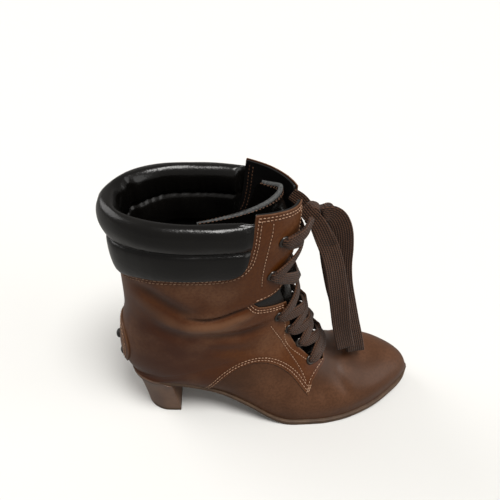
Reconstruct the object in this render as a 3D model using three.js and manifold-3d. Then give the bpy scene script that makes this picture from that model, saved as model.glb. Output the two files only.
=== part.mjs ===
import * as THREE from 'three';
import { mergeVertices } from 'three/addons/utils/BufferGeometryUtils.js';
import Module from 'manifold-3d';

// Lace-up ankle boot for a right foot. Millimetres: X runs from the counter to the toe,
// Y toward the big toe and Z up from the floor.

// Driving sizes
const bootLength = 250;       // counter to toe tip
const ballWidth = 80;         // across the joints, on the upper
const shaftRise = 149;        // eyestay top above the instep
const instepHeight = 55;      // throat base above the sole
const backRise = 166;         // shaft top above the seat, at the back
const heelHeight = 43;        // underside of the seat above the floor
const toeSpring = 9.5;
const soleForefoot = 4;
const soleWaist = 3;
const soleMargin = 1.2;       // sole edge beyond the upper at the forefoot
const seatMargin = 0.2;       // and at the seat
const wall = 2;               // vamp leather with its lining
const quarterStep = 0.9;      // quarter leather laid over the vamp
const clearance = 0.3;        // between pieces that touch
const insoleThickness = 2;
const liftThickness = 3.5;
const collarPad = 9;          // how far the inner roll stands in from the leather
const collarBulge = 4.5;      // how far the outer roll stands out
const tonguePad = 3.4;
const patchThickness = 1;
const studRadius = 3.6;
const studHeight = 2.6;
const eyeletBore = 3.6;
const eyeletFlange = 6.6;
const eyeletThickness = 0.9;
const laceWidth = 8.5;
const laceThickness = 1.9;
const bowWidth = 14;          // the lace lies flatter in the bow than through the eyelets
const bowThickness = 1.5;
const knotLength = 15;
const shoeWall = wall + quarterStep;

// Rows of named columns
const table = (columns, rows) => rows.map((row) => Object.fromEntries(columns.map((name, k) => [name, row[k]])));

// Monotone cubic through a column of a table, by row number
function columnAt(rows, name, at) {
  const last = rows.length - 1;
  const u = Math.min(Math.max(at, 0), last);
  const k = Math.min(Math.floor(u), last - 1);
  const step = (i) => rows[i + 1][name] - rows[i][name];
  const slope = (i) => {
    if (i <= 0) return step(0);
    if (i >= last) return step(last - 1);
    const a = step(i - 1);
    const b = step(i);
    return a * b <= 0 ? 0 : (2 * a * b) / (a + b);
  };
  const s = u - k;
  const a = rows[k][name];
  const b = rows[k + 1][name];
  const h = s * s * (3 - 2 * s);
  return a * (1 - h) + b * h + slope(k) * s * (1 - s) * (1 - s) - slope(k + 1) * s * s * (1 - s);
}

// The row number where a rising column reaches a value
function rowAt(rows, name, value) {
  let low = 0;
  let high = rows.length - 1;
  for (let k = 0; k < 40; k += 1) {
    const middle = (low + high) / 2;
    if (columnAt(rows, name, middle) < value) low = middle;
    else high = middle;
  }
  return (low + high) / 2;
}

// Underside of the sole: x a share of bootLength, arch of heelHeight, spring of toeSpring,
// waist the share of the waist's thickness
const soleLine = table(['x', 'arch', 'spring', 'waist'], [
  [-0.02, 1.0, 0, 1],
  [0.10, 0.985, 0, 1],
  [0.18, 0.955, 0, 1],
  [0.22, 0.90, 0, 1],
  [0.26, 0.80, 0, 1],
  [0.304, 0.67, 0, 1],
  [0.364, 0.51, 0, 1],
  [0.42, 0.34, 0, 1],
  [0.476, 0.15, 0, 0.7],
  [0.512, 0.045, 0, 0.3],
  [0.545, 0, 0, 0],
  [0.632, 0, 0, 0],
  [0.692, 0, 0.07, 0],
  [0.784, 0, 0.30, 0],
  [0.86, 0, 0.55, 0],
  [0.928, 0, 0.79, 0],
  [1.01, 0, 1.02, 0],
]);
const soleRow = (x) => rowAt(soleLine, 'x', x / bootLength);
const soleUnder = (x) => {
  const row = soleRow(x);
  return heelHeight * columnAt(soleLine, 'arch', row) + toeSpring * columnAt(soleLine, 'spring', row);
};
const soleTop = (x) => {
  const share = columnAt(soleLine, 'waist', soleRow(x));
  return soleUnder(x) + soleForefoot + (soleWaist - soleForefoot) * share;
};

// Sections of the boot in planes that turn from level at the collar to upright at the toe.
// back and front are the ends of the plane's line, of bootLength; rise is of backRise above the
// seat; foot is of instepHeight and leg of shaftRise; outer, inner, edgeOuter, edgeInner and ridge
// are of ballWidth; widest is the share of the line where it is widest, crown its roundness.
const stations = table(
  ['back', 'rise', 'front', 'foot', 'leg', 'outer', 'inner', 'edgeOuter', 'edgeInner', 'ridge', 'widest', 'crown'],
  [
    [0.006, 1.000, 0.504, 1, 1.010, 0.475, 0.490, 0.024, 0.024, -0.024, 0.45, 2.30],
    [0.014, 0.867, 0.508, 1, 0.889, 0.475, 0.485, 0.024, 0.024, -0.024, 0.45, 2.30],
    [0.024, 0.717, 0.512, 1, 0.768, 0.460, 0.470, 0.024, 0.024, -0.012, 0.44, 2.30],
    [0.034, 0.566, 0.506, 1, 0.648, 0.437, 0.440, 0.024, 0.024, 0.000, 0.42, 2.30],
    [0.036, 0.416, 0.512, 1, 0.527, 0.412, 0.412, 0.024, 0.024, 0.000, 0.40, 2.20],
    [0.024, 0.295, 0.528, 1, 0.426, 0.400, 0.395, 0.024, 0.024, 0.010, 0.37, 2.10],
    [0.015, 0.175, 0.548, 1, 0.335, 0.390, 0.385, 0.024, 0.024, 0.015, 0.34, 2.00],
    [0.017, 0.084, 0.564, 1, 0.268, 0.380, 0.378, 0.024, 0.024, 0.020, 0.33, 2.00],
    [0.040, 0.000, 0.578, 1, 0.211, 0.370, 0.370, 0.024, 0.024, 0.024, 0.33, 1.95],
    [0.045, 0.000, 0.581, 1, 0.198, 0.368, 0.368, 0.115, 0.115, 0.024, 0.33, 1.95],
    [0.057, 0.000, 0.586, 1, 0.181, 0.367, 0.367, 0.190, 0.190, 0.025, 0.32, 1.95],
    [0.080, 0.000, 0.594, 1, 0.158, 0.366, 0.366, 0.262, 0.262, 0.027, 0.31, 1.95],
    [0.126, 0.000, 0.606, 1, 0.121, 0.366, 0.366, 0.322, 0.322, 0.030, 0.30, 1.95],
    [0.208, 0.000, 0.620, 1, 0.077, 0.368, 0.366, 0.335, 0.335, 0.035, 0.29, 1.95],
    [0.304, 0.000, 0.634, 1, 0.040, 0.375, 0.357, 0.312, 0.302, 0.040, 0.28, 1.90],
    [0.400, 0.000, 0.650, 1, 0.000, 0.412, 0.360, 0.366, 0.318, 0.047, 0.25, 1.90],
    [0.488, 0.000, 0.672, 0.927, 0, 0.458, 0.405, 0.435, 0.380, 0.050, 0.22, 2.00],
    [0.568, 0.000, 0.700, 0.855, 0, 0.478, 0.475, 0.466, 0.458, 0.060, 0.22, 2.00],
    [0.640, 0.000, 0.732, 0.805, 0, 0.475, 0.515, 0.464, 0.502, 0.065, 0.25, 2.00],
    [0.712, 0.000, 0.772, 0.730, 0, 0.450, 0.530, 0.438, 0.516, 0.070, 0.28, 2.05],
    [0.784, 0.000, 0.816, 0.660, 0, 0.388, 0.515, 0.375, 0.500, 0.085, 0.30, 2.10],
    [0.846, 0.000, 0.856, 0.600, 0, 0.303, 0.463, 0.290, 0.450, 0.100, 0.32, 2.10],
    [0.898, 0.000, 0.900, 0.500, 0, 0.198, 0.388, 0.186, 0.376, 0.105, 0.34, 2.10],
    [0.939, 0.000, 0.939, 0.385, 0, 0.100, 0.310, 0.090, 0.298, 0.105, 0.36, 2.10],
    [0.968, 0.000, 0.968, 0.255, 0, 0.008, 0.232, -0.004, 0.222, 0.105, 0.38, 2.00],
    [0.985, 0.000, 0.985, 0.075, 0, -0.068, 0.140, -0.074, 0.136, 0.105, 0.40, 2.00],
  ],
);
const seatStation = 8;
const lastStation = stations.length - 1;
const heelRound = 2.15;       // roundness of the section's lower half
const thinnest = 0.5;         // least half width of a section, millimetres

// Ends of a section's line in the XZ plane, moved inwards by inset
const backEnd = (t) => {
  const x = bootLength * columnAt(stations, 'back', t);
  return [x, soleTop(x) + clearance + backRise * columnAt(stations, 'rise', t)];
};
const frontEnd = (t) => {
  const x = bootLength * columnAt(stations, 'front', t);
  return [x, soleTop(x) + instepHeight * columnAt(stations, 'foot', t) + shaftRise * columnAt(stations, 'leg', t)];
};
function insetEnd(end, t, inset, turn) {
  const step = 0.02;
  const before = end(Math.max(t - step, 0));
  const after = end(Math.min(t + step, lastStation));
  const run = [after[0] - before[0], after[1] - before[1]];
  const size = Math.hypot(...run) || 1;
  const [x, z] = end(t);
  return [x - (turn * inset * run[1]) / size, z + (turn * inset * run[0]) / size];
}

// A point of the boot's surface: station t, side -1 outer or 1 inner, turn 0 at the back or sole,
// a quarter turn at the widest and half a turn at the front. The lower half is an oval cut off
// where it is as wide as the sole's edge.
function surfacePoint(t, side, turn, inset = 0) {
  const back = insetEnd(backEnd, t, inset, 1);
  const front = insetEnd(frontEnd, t, inset, -1);
  const value = (name) => columnAt(stations, name, t);
  const wide = ballWidth * value(side < 0 ? 'outer' : 'inner') - inset;
  const widest = value('widest');
  let share;
  let y;
  if (turn < Math.PI / 2) {
    const keel = (side * ballWidth * (value('edgeInner') - value('edgeOuter'))) / 2;
    const half = (ballWidth * (value('edgeInner') + value('edgeOuter'))) / 2;
    const edge = Math.max(half - inset, Math.min(half, 0.024 * ballWidth));
    const reach = Math.max(wide - keel, thinnest);
    const start = Math.asin(Math.min(edge / reach, 0.995) ** (heelRound / 2));
    const angle = start + (Math.PI / 2 - start) * (turn / (Math.PI / 2));
    share = widest * (1 - Math.max(Math.cos(angle) / Math.cos(start), 0) ** (2 / heelRound));
    y = keel + reach * Math.sin(angle) ** (2 / heelRound);
  } else {
    const power = value('crown');
    const ridge = ballWidth * value('ridge') * side;
    share = widest + (1 - widest) * Math.abs(Math.cos(turn)) ** (2 / power);
    y = ridge + Math.max(wide - ridge, thinnest) * Math.abs(Math.sin(turn)) ** (2 / power);
  }
  return new THREE.Vector3(
    back[0] + (front[0] - back[0]) * share,
    side * y,
    back[1] + (front[1] - back[1]) * share,
  );
}

function surfaceNormal(t, side, turn) {
  const step = 0.01;
  const along = surfacePoint(t + step, side, turn).sub(surfacePoint(t - step, side, turn));
  const round = surfacePoint(t, side, turn + step).sub(surfacePoint(t, side, turn - step));
  return along.cross(round).multiplyScalar(-side).normalize();
}

// Closed solid through rings of points, each ring in the same order
function loft(rings) {
  const count = rings[0].length;
  const positions = rings.flat().flatMap((p) => [p.x, p.y, p.z]);
  const faces = [];
  for (let i = 0; i < rings.length - 1; i += 1) {
    for (let j = 0; j < count; j += 1) {
      const next = (j + 1) % count;
      const [a, b, c, d] = [i * count + j, i * count + next, (i + 1) * count + next, (i + 1) * count + j];
      faces.push(a, b, c, a, c, d);
    }
  }
  for (const [ring, flip] of [[rings[0], true], [rings[rings.length - 1], false]]) {
    const middle = ring.reduce((sum, p) => sum.add(p), new THREE.Vector3()).divideScalar(count);
    const hub = positions.length / 3;
    positions.push(middle.x, middle.y, middle.z);
    const start = flip ? 0 : (rings.length - 1) * count;
    for (let j = 0; j < count; j += 1) {
      const next = (j + 1) % count;
      if (flip) faces.push(hub, start + next, start + j);
      else faces.push(hub, start + j, start + next);
    }
  }
  const geometry = new THREE.BufferGeometry();
  geometry.setAttribute('position', new THREE.Float32BufferAttribute(positions, 3));
  geometry.setIndex(faces);
  return outward(geometry);
}

// Turns the faces round where the solid is inside out
function outward(geometry) {
  const p = geometry.attributes.position;
  const index = geometry.index.array;
  const at = (k) => new THREE.Vector3().fromBufferAttribute(p, index[k]);
  let volume = 0;
  for (let k = 0; k < index.length; k += 3) volume += at(k).dot(at(k + 1).cross(at(k + 2)));
  if (volume < 0) {
    for (let k = 0; k < index.length; k += 3) [index[k], index[k + 1]] = [index[k + 1], index[k]];
  }
  return geometry;
}

const wasm = await Module();
wasm.setup();

function solid(geometry) {
  const bare = geometry.clone();
  bare.deleteAttribute('normal');
  bare.deleteAttribute('uv');
  const merged = mergeVertices(bare, 1e-4);
  const corners = merged.index.array;
  const kept = [];
  for (let k = 0; k < corners.length; k += 3) {
    const [a, b, c] = [corners[k], corners[k + 1], corners[k + 2]];
    if (a !== b && b !== c && c !== a) kept.push(a, b, c);
  }
  return new wasm.Manifold(new wasm.Mesh({
    numProp: 3,
    vertProperties: new Float32Array(merged.attributes.position.array),
    triVerts: new Uint32Array(kept),
  }));
}

function shape(manifold) {
  const mesh = manifold.getMesh();
  const geometry = new THREE.BufferGeometry();
  geometry.setAttribute('position', new THREE.BufferAttribute(new Float32Array(mesh.vertProperties), 3));
  geometry.setIndex(new THREE.BufferAttribute(new Uint32Array(mesh.triVerts), 1));
  return geometry;
}

// Section turns from the back or sole to the front, closer where the form bends more
const quarterTurns = (count) => Array.from({ length: count + 1 }, (_, k) => (Math.PI / 2) * (k / count));
const sectionTurns = [...quarterTurns(5), ...quarterTurns(7).slice(1).map((a) => a + Math.PI / 2)];

function sectionRing(t, inset) {
  const outer = sectionTurns.map((turn) => surfacePoint(t, -1, turn, inset));
  const inner = sectionTurns.map((turn) => surfacePoint(t, 1, turn, inset));
  return [...outer, ...inner.slice(0, -1).reverse()];
}

function bootForm(inset, top = 0) {
  const rings = [];
  if (top) rings.push(sectionRing(0, inset).map((p) => p.setZ(p.z + top)));
  for (let t = 0; t <= lastStation; t += 0.5) {
    const bends = (t > 4 && t < seatStation) || t > 20;
    if (bends || Number.isInteger(t)) rings.push(sectionRing(t, inset));
  }
  return solid(loft(rings));
}

// Side-view and front-view outlines pushed through the boot
function sidePrism(outline, from = -90, to = 90) {
  const drawn = new THREE.Shape(outline.map(([x, z]) => new THREE.Vector2(x, z)));
  const geometry = new THREE.ExtrudeGeometry(drawn, { depth: to - from, bevelEnabled: false });
  geometry.rotateX(Math.PI / 2);
  geometry.translate(0, to, 0);
  return solid(geometry);
}
function frontPrism(outline, from, to) {
  const drawn = new THREE.Shape(outline.map(([y, z]) => new THREE.Vector2(y, z)));
  const geometry = new THREE.ExtrudeGeometry(drawn, { depth: to - from, bevelEnabled: false });
  geometry.applyMatrix4(new THREE.Matrix4().makeBasis(
    new THREE.Vector3(0, 1, 0), new THREE.Vector3(0, 0, 1), new THREE.Vector3(1, 0, 0)));
  geometry.translate(from, 0, 0);
  return solid(geometry);
}

// Side-view lines: x of bootLength, z of shaftTop, the height of the eyestays
const shaftTop = soleTop(0.504 * bootLength) + instepHeight + shaftRise;
const sideView = (rows) => rows.map(([x, z]) => [x * bootLength, z * shaftTop]);
const smooth = (points, count) => new THREE.SplineCurve(points.map(([x, z]) => new THREE.Vector2(x, z)))
  .getPoints(count).map((p) => [p.x, p.y]);

const collarLine = smooth(sideView([
  [-0.08, 0.705], [0.03, 0.712], [0.095, 0.742], [0.18, 0.758], [0.275, 0.76], [0.33, 0.768], [0.36, 0.80],
  [0.371, 0.86], [0.374, 0.93], [0.376, 0.982],
]), 26);
const eyestayTop = sideView([[0.376, 0.982], [0.44, 0.974], [0.5, 0.962], [0.56, 0.95]]);
const lowerCollar = [...collarLine, ...eyestayTop, ...sideView([[0.56, 1.3], [-0.08, 1.3]])];
const notchOutline = [
  ...smooth(sideView([[0.56, 0.73], [0.495, 0.70], [0.478, 0.66], [0.455, 0.635], [0.42, 0.622], [0.392, 0.617]]), 12),
  ...smooth(sideView([[0.392, 0.617], [0.412, 0.588], [0.455, 0.573], [0.51, 0.561], [0.60, 0.53]]), 8).slice(1),
  ...sideView([[0.66, 0.62]]),
];
const quarterOutline = [
  ...sideView([[-0.1, 0.0], [0.262, 0.0]]),
  ...smooth(sideView([
    [0.262, 0.12], [0.29, 0.185], [0.325, 0.25], [0.37, 0.295], [0.42, 0.31], [0.475, 0.292], [0.53, 0.24], [0.592, 0.155],
  ]), 18),
  ...sideView([[0.604, 0.205], [0.625, 0.232], [0.648, 0.248], [0.65, 0.4], [0.8, 0.5], [0.8, 1.3], [-0.1, 1.3]]),
];

// Throat: half gap of ballWidth on each side, height of shaftTop
const throat = table(['z', 'outer', 'inner'], [
  [0.235, -0.15, 0.17],
  [0.265, -0.19, 0.21],
  [0.35, -0.19, 0.20],
  [0.46, -0.175, 0.185],
  [0.56, -0.18, 0.18],
  [0.63, -0.225, 0.20],
  [0.68, -0.205, 0.18],
  [0.75, -0.18, 0.155],
  [0.83, -0.155, 0.13],
  [0.92, -0.115, 0.09],
  [1.10, -0.09, 0.065],
]);
const throatOutline = [
  ...throat.map((row) => [row.outer * ballWidth, row.z * shaftTop]),
  ...throat.map((row) => [row.inner * ballWidth, row.z * shaftTop]).reverse(),
];
const throatSide = sideView([
  [0.36, 1.1], [0.36, 0.66], [0.48, 0.38], [0.60, 0.2], [0.642, 0.225], [0.65, 0.31], [0.8, 0.57], [0.8, 1.1],
]);

// Eyelets: places in side view, x of bootLength and z of shaftTop, base of the throat first
const eyeletPlaces = table(['x', 'z'], [
  [0.600, 0.268],
  [0.558, 0.350],
  [0.517, 0.432],
  [0.478, 0.508],
  [0.438, 0.727],
  [0.456, 0.862],
]);
const flangeLift = 0.65;      // flange above the leather, for the leather's curve
const eyeletLength = shoeWall - 0.7;

// Where the side view's point lies on the boot: station and turn
function findOnSurface(side, x, z) {
  let best = { miss: Infinity };
  for (let t = 0; t <= 18; t += 0.1) {
    for (let turn = Math.PI / 2; turn < Math.PI; turn += 0.02) {
      const p = surfacePoint(t, side, turn);
      const miss = Math.hypot(p.x - x, p.z - z);
      if (miss < best.miss) best = { miss, t, turn };
    }
  }
  return best;
}
const eyelets = eyeletPlaces.map((row) => [-1, 1].map((side) => {
  const spot = findOnSurface(side, row.x * bootLength, row.z * shaftTop);
  const point = surfacePoint(spot.t, side, spot.turn);
  return { side, ...spot, point, normal: surfaceNormal(spot.t, side, spot.turn) };
}));

// A turned piece with its axis along a direction
function turned(profile, point, direction, sides) {
  const geometry = new THREE.LatheGeometry(profile.map(([r, h]) => new THREE.Vector2(r, h)), sides);
  const turn = new THREE.Quaternion().setFromUnitVectors(new THREE.Vector3(0, 1, 0), direction);
  geometry.applyQuaternion(turn);
  geometry.translate(point.x, point.y, point.z);
  return geometry;
}

// Outline of the sole: feather edge moved outwards, from the seat's back to the toe
function featherSide(side, margin) {
  const points = [];
  const edge = side < 0 ? 'edgeOuter' : 'edgeInner';
  const place = (t) => new THREE.Vector2(
    bootLength * columnAt(stations, 'back', t), side * ballWidth * columnAt(stations, edge, t));
  for (let t = seatStation; t <= lastStation + 1e-6; t += 0.5) {
    const run = place(Math.min(t + 0.02, lastStation)).sub(place(Math.max(t - 0.02, seatStation))).normalize();
    const x = place(t).x;
    const reach = typeof margin === 'function' ? margin(x) : margin;
    points.push(place(t).add(new THREE.Vector2(-side * run.y * reach, side * run.x * reach)));
  }
  return points;
}

function plate(margin, bottom, top, from = -Infinity, to = Infinity) {
  const outer = featherSide(-1, margin);
  const inner = featherSide(1, margin);
  const rings = [];
  outer.forEach((a, k) => {
    const b = inner[k];
    if (a.x < from || a.x > to) return;
    rings.push([
      new THREE.Vector3(a.x, a.y, bottom(a.x)), new THREE.Vector3(b.x, b.y, bottom(b.x)),
      new THREE.Vector3(b.x, b.y, top(b.x)), new THREE.Vector3(a.x, a.y, top(a.x)),
    ]);
  });
  return loft(rings);
}

const edgeMargin = (x) => {
  const share = Math.min(Math.max((x / bootLength - 0.2) / 0.3, 0), 1);
  return seatMargin + (soleMargin - seatMargin) * share;
};
function makeOutsole() {
  return plate(edgeMargin, soleUnder, soleTop);
}

function makeInsole() {
  const base = (x) => soleTop(x) + clearance;
  const start = bootLength * stations[seatStation].back + shoeWall + 1.5;
  return plate(-(shoeWall + clearance + 0.5), base, (x) => base(x) + insoleThickness, start);
}

// Heel: the seat's outline drawn in toward the top lift, with a flat breast
const heel = {
  breastTop: 0.190, breastBottom: 0.194, backBottom: 0.088, // of bootLength
  width: 0.245, // half width at the lift, of ballWidth
  curve: 0.62,
};
function heelRing(share, height) {
  const outer = featherSide(-1, seatMargin).filter((p) => p.x < heel.breastTop * bootLength);
  const inner = featherSide(1, seatMargin).filter((p) => p.x < heel.breastTop * bootLength);
  const topX = heel.breastTop * bootLength;
  const cut = (side, list) => {
    const t = rowAt(stations.slice(seatStation), 'back', heel.breastTop) + seatStation;
    const edge = side < 0 ? 'edgeOuter' : 'edgeInner';
    return [...list, new THREE.Vector2(topX, side * (ballWidth * columnAt(stations, edge, t) + seatMargin))];
  };
  const round = [...cut(-1, outer).reverse(), ...cut(1, inner)];
  const backX = round.reduce((x, p) => Math.min(x, p.x), Infinity);
  const halfTop = Math.max(...round.map((p) => Math.abs(p.y)));
  const blend = share ** heel.curve;
  const back = backX + (heel.backBottom * bootLength - backX) * blend;
  const breast = topX + (heel.breastBottom - heel.breastTop) * bootLength * share;
  const narrow = 1 + ((heel.width * ballWidth) / halfTop - 1) * blend;
  return round.map((p) => {
    const x = back + ((p.x - backX) / (topX - backX)) * (breast - back);
    return new THREE.Vector3(x, p.y * narrow, height(p.x));
  });
}
function makeHeelBlock() {
  const bottom = liftThickness + clearance;
  const shares = [0, 0.06, 0.14, 0.26, 0.42, 0.6, 0.8, 1].map((share) => share * (1 - bottom / heelHeight));
  const rings = shares.map((share) => heelRing(share, () => heelHeight * (1 - share)));
  const above = plate(3 * soleMargin, (x) => soleUnder(x) - clearance, () => 2 * heelHeight);
  return shape(solid(loft([heelRing(0, () => heelHeight + 1), ...rings])).subtract(solid(above)));
}
function makeTopLift() {
  const share = 1 - liftThickness / heelHeight;
  return loft([heelRing(share, () => liftThickness), heelRing(1, () => 0)]);
}

// Upper: vamp form, the quarters one step proud of it, hollowed and opened
function bottomOpening() {
  const bottom = () => -20;
  return solid(plate(-shoeWall, bottom, (x) => soleTop(x) + shoeWall + 1.6));
}
function makeUpper() {
  const quarters = bootForm(0).intersect(sidePrism(quarterOutline));
  let upper = bootForm(quarterStep).add(quarters);
  const sole = plate(5 * soleMargin, () => -20, (x) => soleTop(x) + clearance);
  upper = upper.subtract(bootForm(shoeWall, 12)).subtract(bottomOpening()).subtract(solid(sole));
  upper = upper.subtract(sidePrism(lowerCollar)).subtract(sidePrism(notchOutline));
  const throatCut = frontPrism(throatOutline, 0.37 * bootLength, 0.8 * bootLength)
    .intersect(sidePrism(throatSide));
  upper = upper.subtract(throatCut);
  for (const { point, normal } of eyelets.flat()) {
    const radius = eyeletBore / 2 + 0.6 + clearance;
    upper = upper.subtract(solid(turned([[0, -8], [radius, -8], [radius, 8], [0, 8]], point, normal, 8)));
  }
  return shape(upper);
}

// Padded collar: a point at a height, found between the shaft's sections
function shaftPoint(side, turn, height) {
  let low = 0;
  let high = 6;
  for (let k = 0; k < 30; k += 1) {
    const middle = (low + high) / 2;
    if (surfacePoint(middle, side, turn).z > height) low = middle;
    else high = middle;
  }
  const t = (low + high) / 2;
  const normal = surfaceNormal(t, side, Math.max(turn, 0.03)).setZ(0).normalize();
  return { point: surfacePoint(t, side, turn), normal };
}

// Two rolls outside and two inside: out is of collarBulge or, inwards, of collarPad
const collarProfile = table(['out', 'up'], [
  [-0.45, 0.0], [0.25, 0.02], [0.62, 0.12], [0.72, 0.26], [0.5, 0.40], [-0.1, 0.475], [0.5, 0.55], [0.98, 0.68],
  [1.0, 0.80], [0.55, 0.93], [-0.2, 0.99], [-0.6, 0.97], [-0.92, 0.88], [-1.0, 0.74], [-0.82, 0.60], [-0.68, 0.53],
  [-0.86, 0.44], [-0.95, 0.28], [-0.85, 0.12], [-0.7, 0.02],
]);
function makeCollar() {
  const rings = [];
  const turns = [2.2, 2.04, 1.86, 1.64, 1.4, 1.15, 0.9, 0.68, 0.48, 0.3, 0.12];
  const path = [...turns.map((turn) => [-1, turn]), ...turns.map((turn) => [1, turn]).reverse()];
  for (const [side, turn] of path) {
    const drop = 0.5 - 0.5 * Math.cos(Math.min(turn / 1.35, 1) * Math.PI);
    const lowest = shaftTop * (0.70 + 0.045 * drop);
    const crest = shaftTop * (0.952 + 0.004 * drop);
    rings.push(collarProfile.map((row) => {
      const { point, normal } = shaftPoint(side, turn, lowest + (crest - lowest) * row.up);
      const reach = row.out > 0 ? row.out * collarBulge : row.out * collarPad;
      const placed = point.add(normal.multiplyScalar(reach));
      return placed.setZ(lowest + (crest - lowest) * row.up);
    }));
  }
  const room = lowerCollar.map(([x, z]) => [x, z]);
  const front = collarLine.map(([x, z], k) => {
    const a = collarLine[Math.max(k - 1, 0)];
    const b = collarLine[Math.min(k + 1, collarLine.length - 1)];
    const size = Math.hypot(b[0] - a[0], b[1] - a[1]);
    return [x - (clearance * (b[1] - a[1])) / size, z + (clearance * (b[0] - a[0])) / size];
  });
  const cut = [...front, [front[front.length - 1][0], 1.3 * shaftTop], room[room.length - 1]];
  return shape(solid(loft(rings)).intersect(sidePrism(cut)));
}

// Tongue: level U-shaped rows; z of shaftTop, front of bootLength, the rest of ballWidth
const tongueRows = table(['z', 'front', 'middle', 'deepOuter', 'wideOuter', 'deepInner', 'wideInner'], [
  [0.243, 0.628, 0.03, 0.12, 0.17, 0.12, 0.18],
  [0.285, 0.596, 0.03, 0.18, 0.23, 0.18, 0.24],
  [0.38, 0.545, 0.025, 0.25, 0.27, 0.25, 0.27],
  [0.475, 0.508, 0.02, 0.30, 0.29, 0.30, 0.28],
  [0.56, 0.486, 0.01, 0.38, 0.32, 0.36, 0.31],
  [0.63, 0.470, 0.01, 0.44, 0.335, 0.40, 0.32],
  [0.715, 0.458, 0.01, 0.53, 0.34, 0.36, 0.28],
  [0.83, 0.455, 0.02, 0.62, 0.34, 0.24, 0.22],
  [0.93, 0.455, 0.045, 0.66, 0.365, 0.17, 0.18],
  [0.965, 0.455, 0.05, 0.67, 0.37, 0.13, 0.15],
]);
const topDip = 3.5;            // how much lower the tongue's top corners are
function makeTongue() {
  const count = 7;
  const rings = [];
  for (let k = 0; k < tongueRows.length; k += 1) {
    const value = (name) => tongueRows[k][name];
    const face = [[], []];
    for (let j = -count; j <= count; j += 1) {
      const s = j / count;
      const deep = ballWidth * value(s < 0 ? 'deepOuter' : 'deepInner');
      const wide = ballWidth * value(s < 0 ? 'wideOuter' : 'wideInner');
      const middle = ballWidth * value('middle');
      const point = new THREE.Vector3(bootLength * value('front') - deep * s * s, middle + wide * s, 0);
      const normal = new THREE.Vector3(wide, 2 * deep * s, 0).normalize();
      const half = (tonguePad / 2) * (1 - 0.55 * Math.abs(s) ** 6);
      const drop = (1 - Math.cos(Math.abs(s) * Math.PI)) * 0.5;
      point.z = value('z') * shaftTop - (k === tongueRows.length - 1 ? topDip * drop : 0);
      face[0].push(point.clone().add(normal.clone().multiplyScalar(half)));
      face[1].push(point.clone().sub(normal.clone().multiplyScalar(half)));
    }
    rings.push([...face[0], ...face[1].reverse()]);
  }
  return shape(solid(loft(rings)).intersect(bootForm(shoeWall + clearance)));
}

// Patch and its two studs on the back of the counter, heights of shaftTop
const patch = { middle: 0.335, halfHeight: 0.115, halfWidth: 0.175, studs: [0.352, 0.262] };
function makePatch() {
  const oval = [];
  for (let k = 0; k < 28; k += 1) {
    const a = (k / 28) * 2 * Math.PI;
    oval.push([
      patch.halfWidth * ballWidth * Math.cos(a),
      shaftTop * (patch.middle + patch.halfHeight * Math.sin(a)),
    ]);
  }
  const cover = bootForm(-(clearance + patchThickness)).subtract(bootForm(-clearance));
  return shape(cover.intersect(frontPrism(oval, -20, 0.12 * bootLength)));
}
function makeStud(height) {
  const share = height * shaftTop;
  let t = 0;
  while (t < seatStation && backEnd(t)[1] > share) t += 0.01;
  const [x, z] = backEnd(t);
  const next = backEnd(t + 0.05);
  const run = new THREE.Vector2(next[0] - x, next[1] - z).normalize();
  const direction = new THREE.Vector3(run.y, 0, -run.x);
  const start = 2 * clearance + patchThickness;
  const point = new THREE.Vector3(x, 0, z).add(direction.clone().multiplyScalar(start));
  const profile = [[0, 0], [studRadius, 0]];
  for (let k = 1; k < 4; k += 1) {
    const a = (k / 4) * (Math.PI / 2);
    profile.push([studRadius * Math.cos(a), studHeight * Math.sin(a)]);
  }
  profile.push([0, studHeight]);
  return turned(profile, point, direction, 14);
}

function makeEyelet({ point, normal }) {
  const bore = eyeletBore / 2;
  const barrel = bore + 0.6;
  const flange = eyeletFlange / 2;
  const profile = [
    [bore, flangeLift + eyeletThickness], [bore, -eyeletLength], [barrel, -eyeletLength], [barrel, flangeLift],
    [flange, flangeLift], [flange - 0.5, flangeLift + eyeletThickness], [bore, flangeLift + eyeletThickness],
  ];
  return turned(profile, point, normal, 8);
}

// Flat lace section, thin along its first direction
function laceSection(width, thickness) {
  const w = width / 2;
  const h = thickness / 2;
  return [[h, 0.7 * w], [0, w], [-h, 0.7 * w], [-h, -0.7 * w], [0, -w], [h, -0.7 * w]];
}

// A lace strap from an outer to an inner eyelet, riding over the closed front of the boot
const laceLift = flangeLift + eyeletThickness + 2 * clearance + laceThickness / 2;
function strap(a, b) {
  const rings = [];
  const count = 6;
  const section = laceSection(laceWidth, laceThickness);
  const place = (share) => {
    const t = a.t + (b.t - a.t) * share;
    const side = share < 0.5 ? -1 : 1;
    const from = share < 0.5 ? a.turn : b.turn;
    const turn = from + (Math.PI - 0.02 - from) * (1 - Math.abs(2 * share - 1));
    const normal = surfaceNormal(t, side, Math.min(turn, Math.PI - 0.2));
    return { point: surfacePoint(t, side, turn), normal, side };
  };
  for (let k = 0; k <= count; k += 1) {
    const share = k / count;
    const here = place(share);
    const ahead = place(Math.min(share + 0.04, 1)).point;
    const behind = place(Math.max(share - 0.04, 0)).point;
    const run = ahead.sub(behind).normalize();
    const out = here.normal.clone().addScaledVector(run, -here.normal.dot(run)).normalize();
    const across = new THREE.Vector3().crossVectors(run, out).normalize();
    const middle = here.point.addScaledVector(out, laceLift);
    rings.push(section.map(([h, w]) => middle.clone().addScaledVector(out, h).addScaledVector(across, w)));
  }
  return solid(loft(rings));
}

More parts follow.
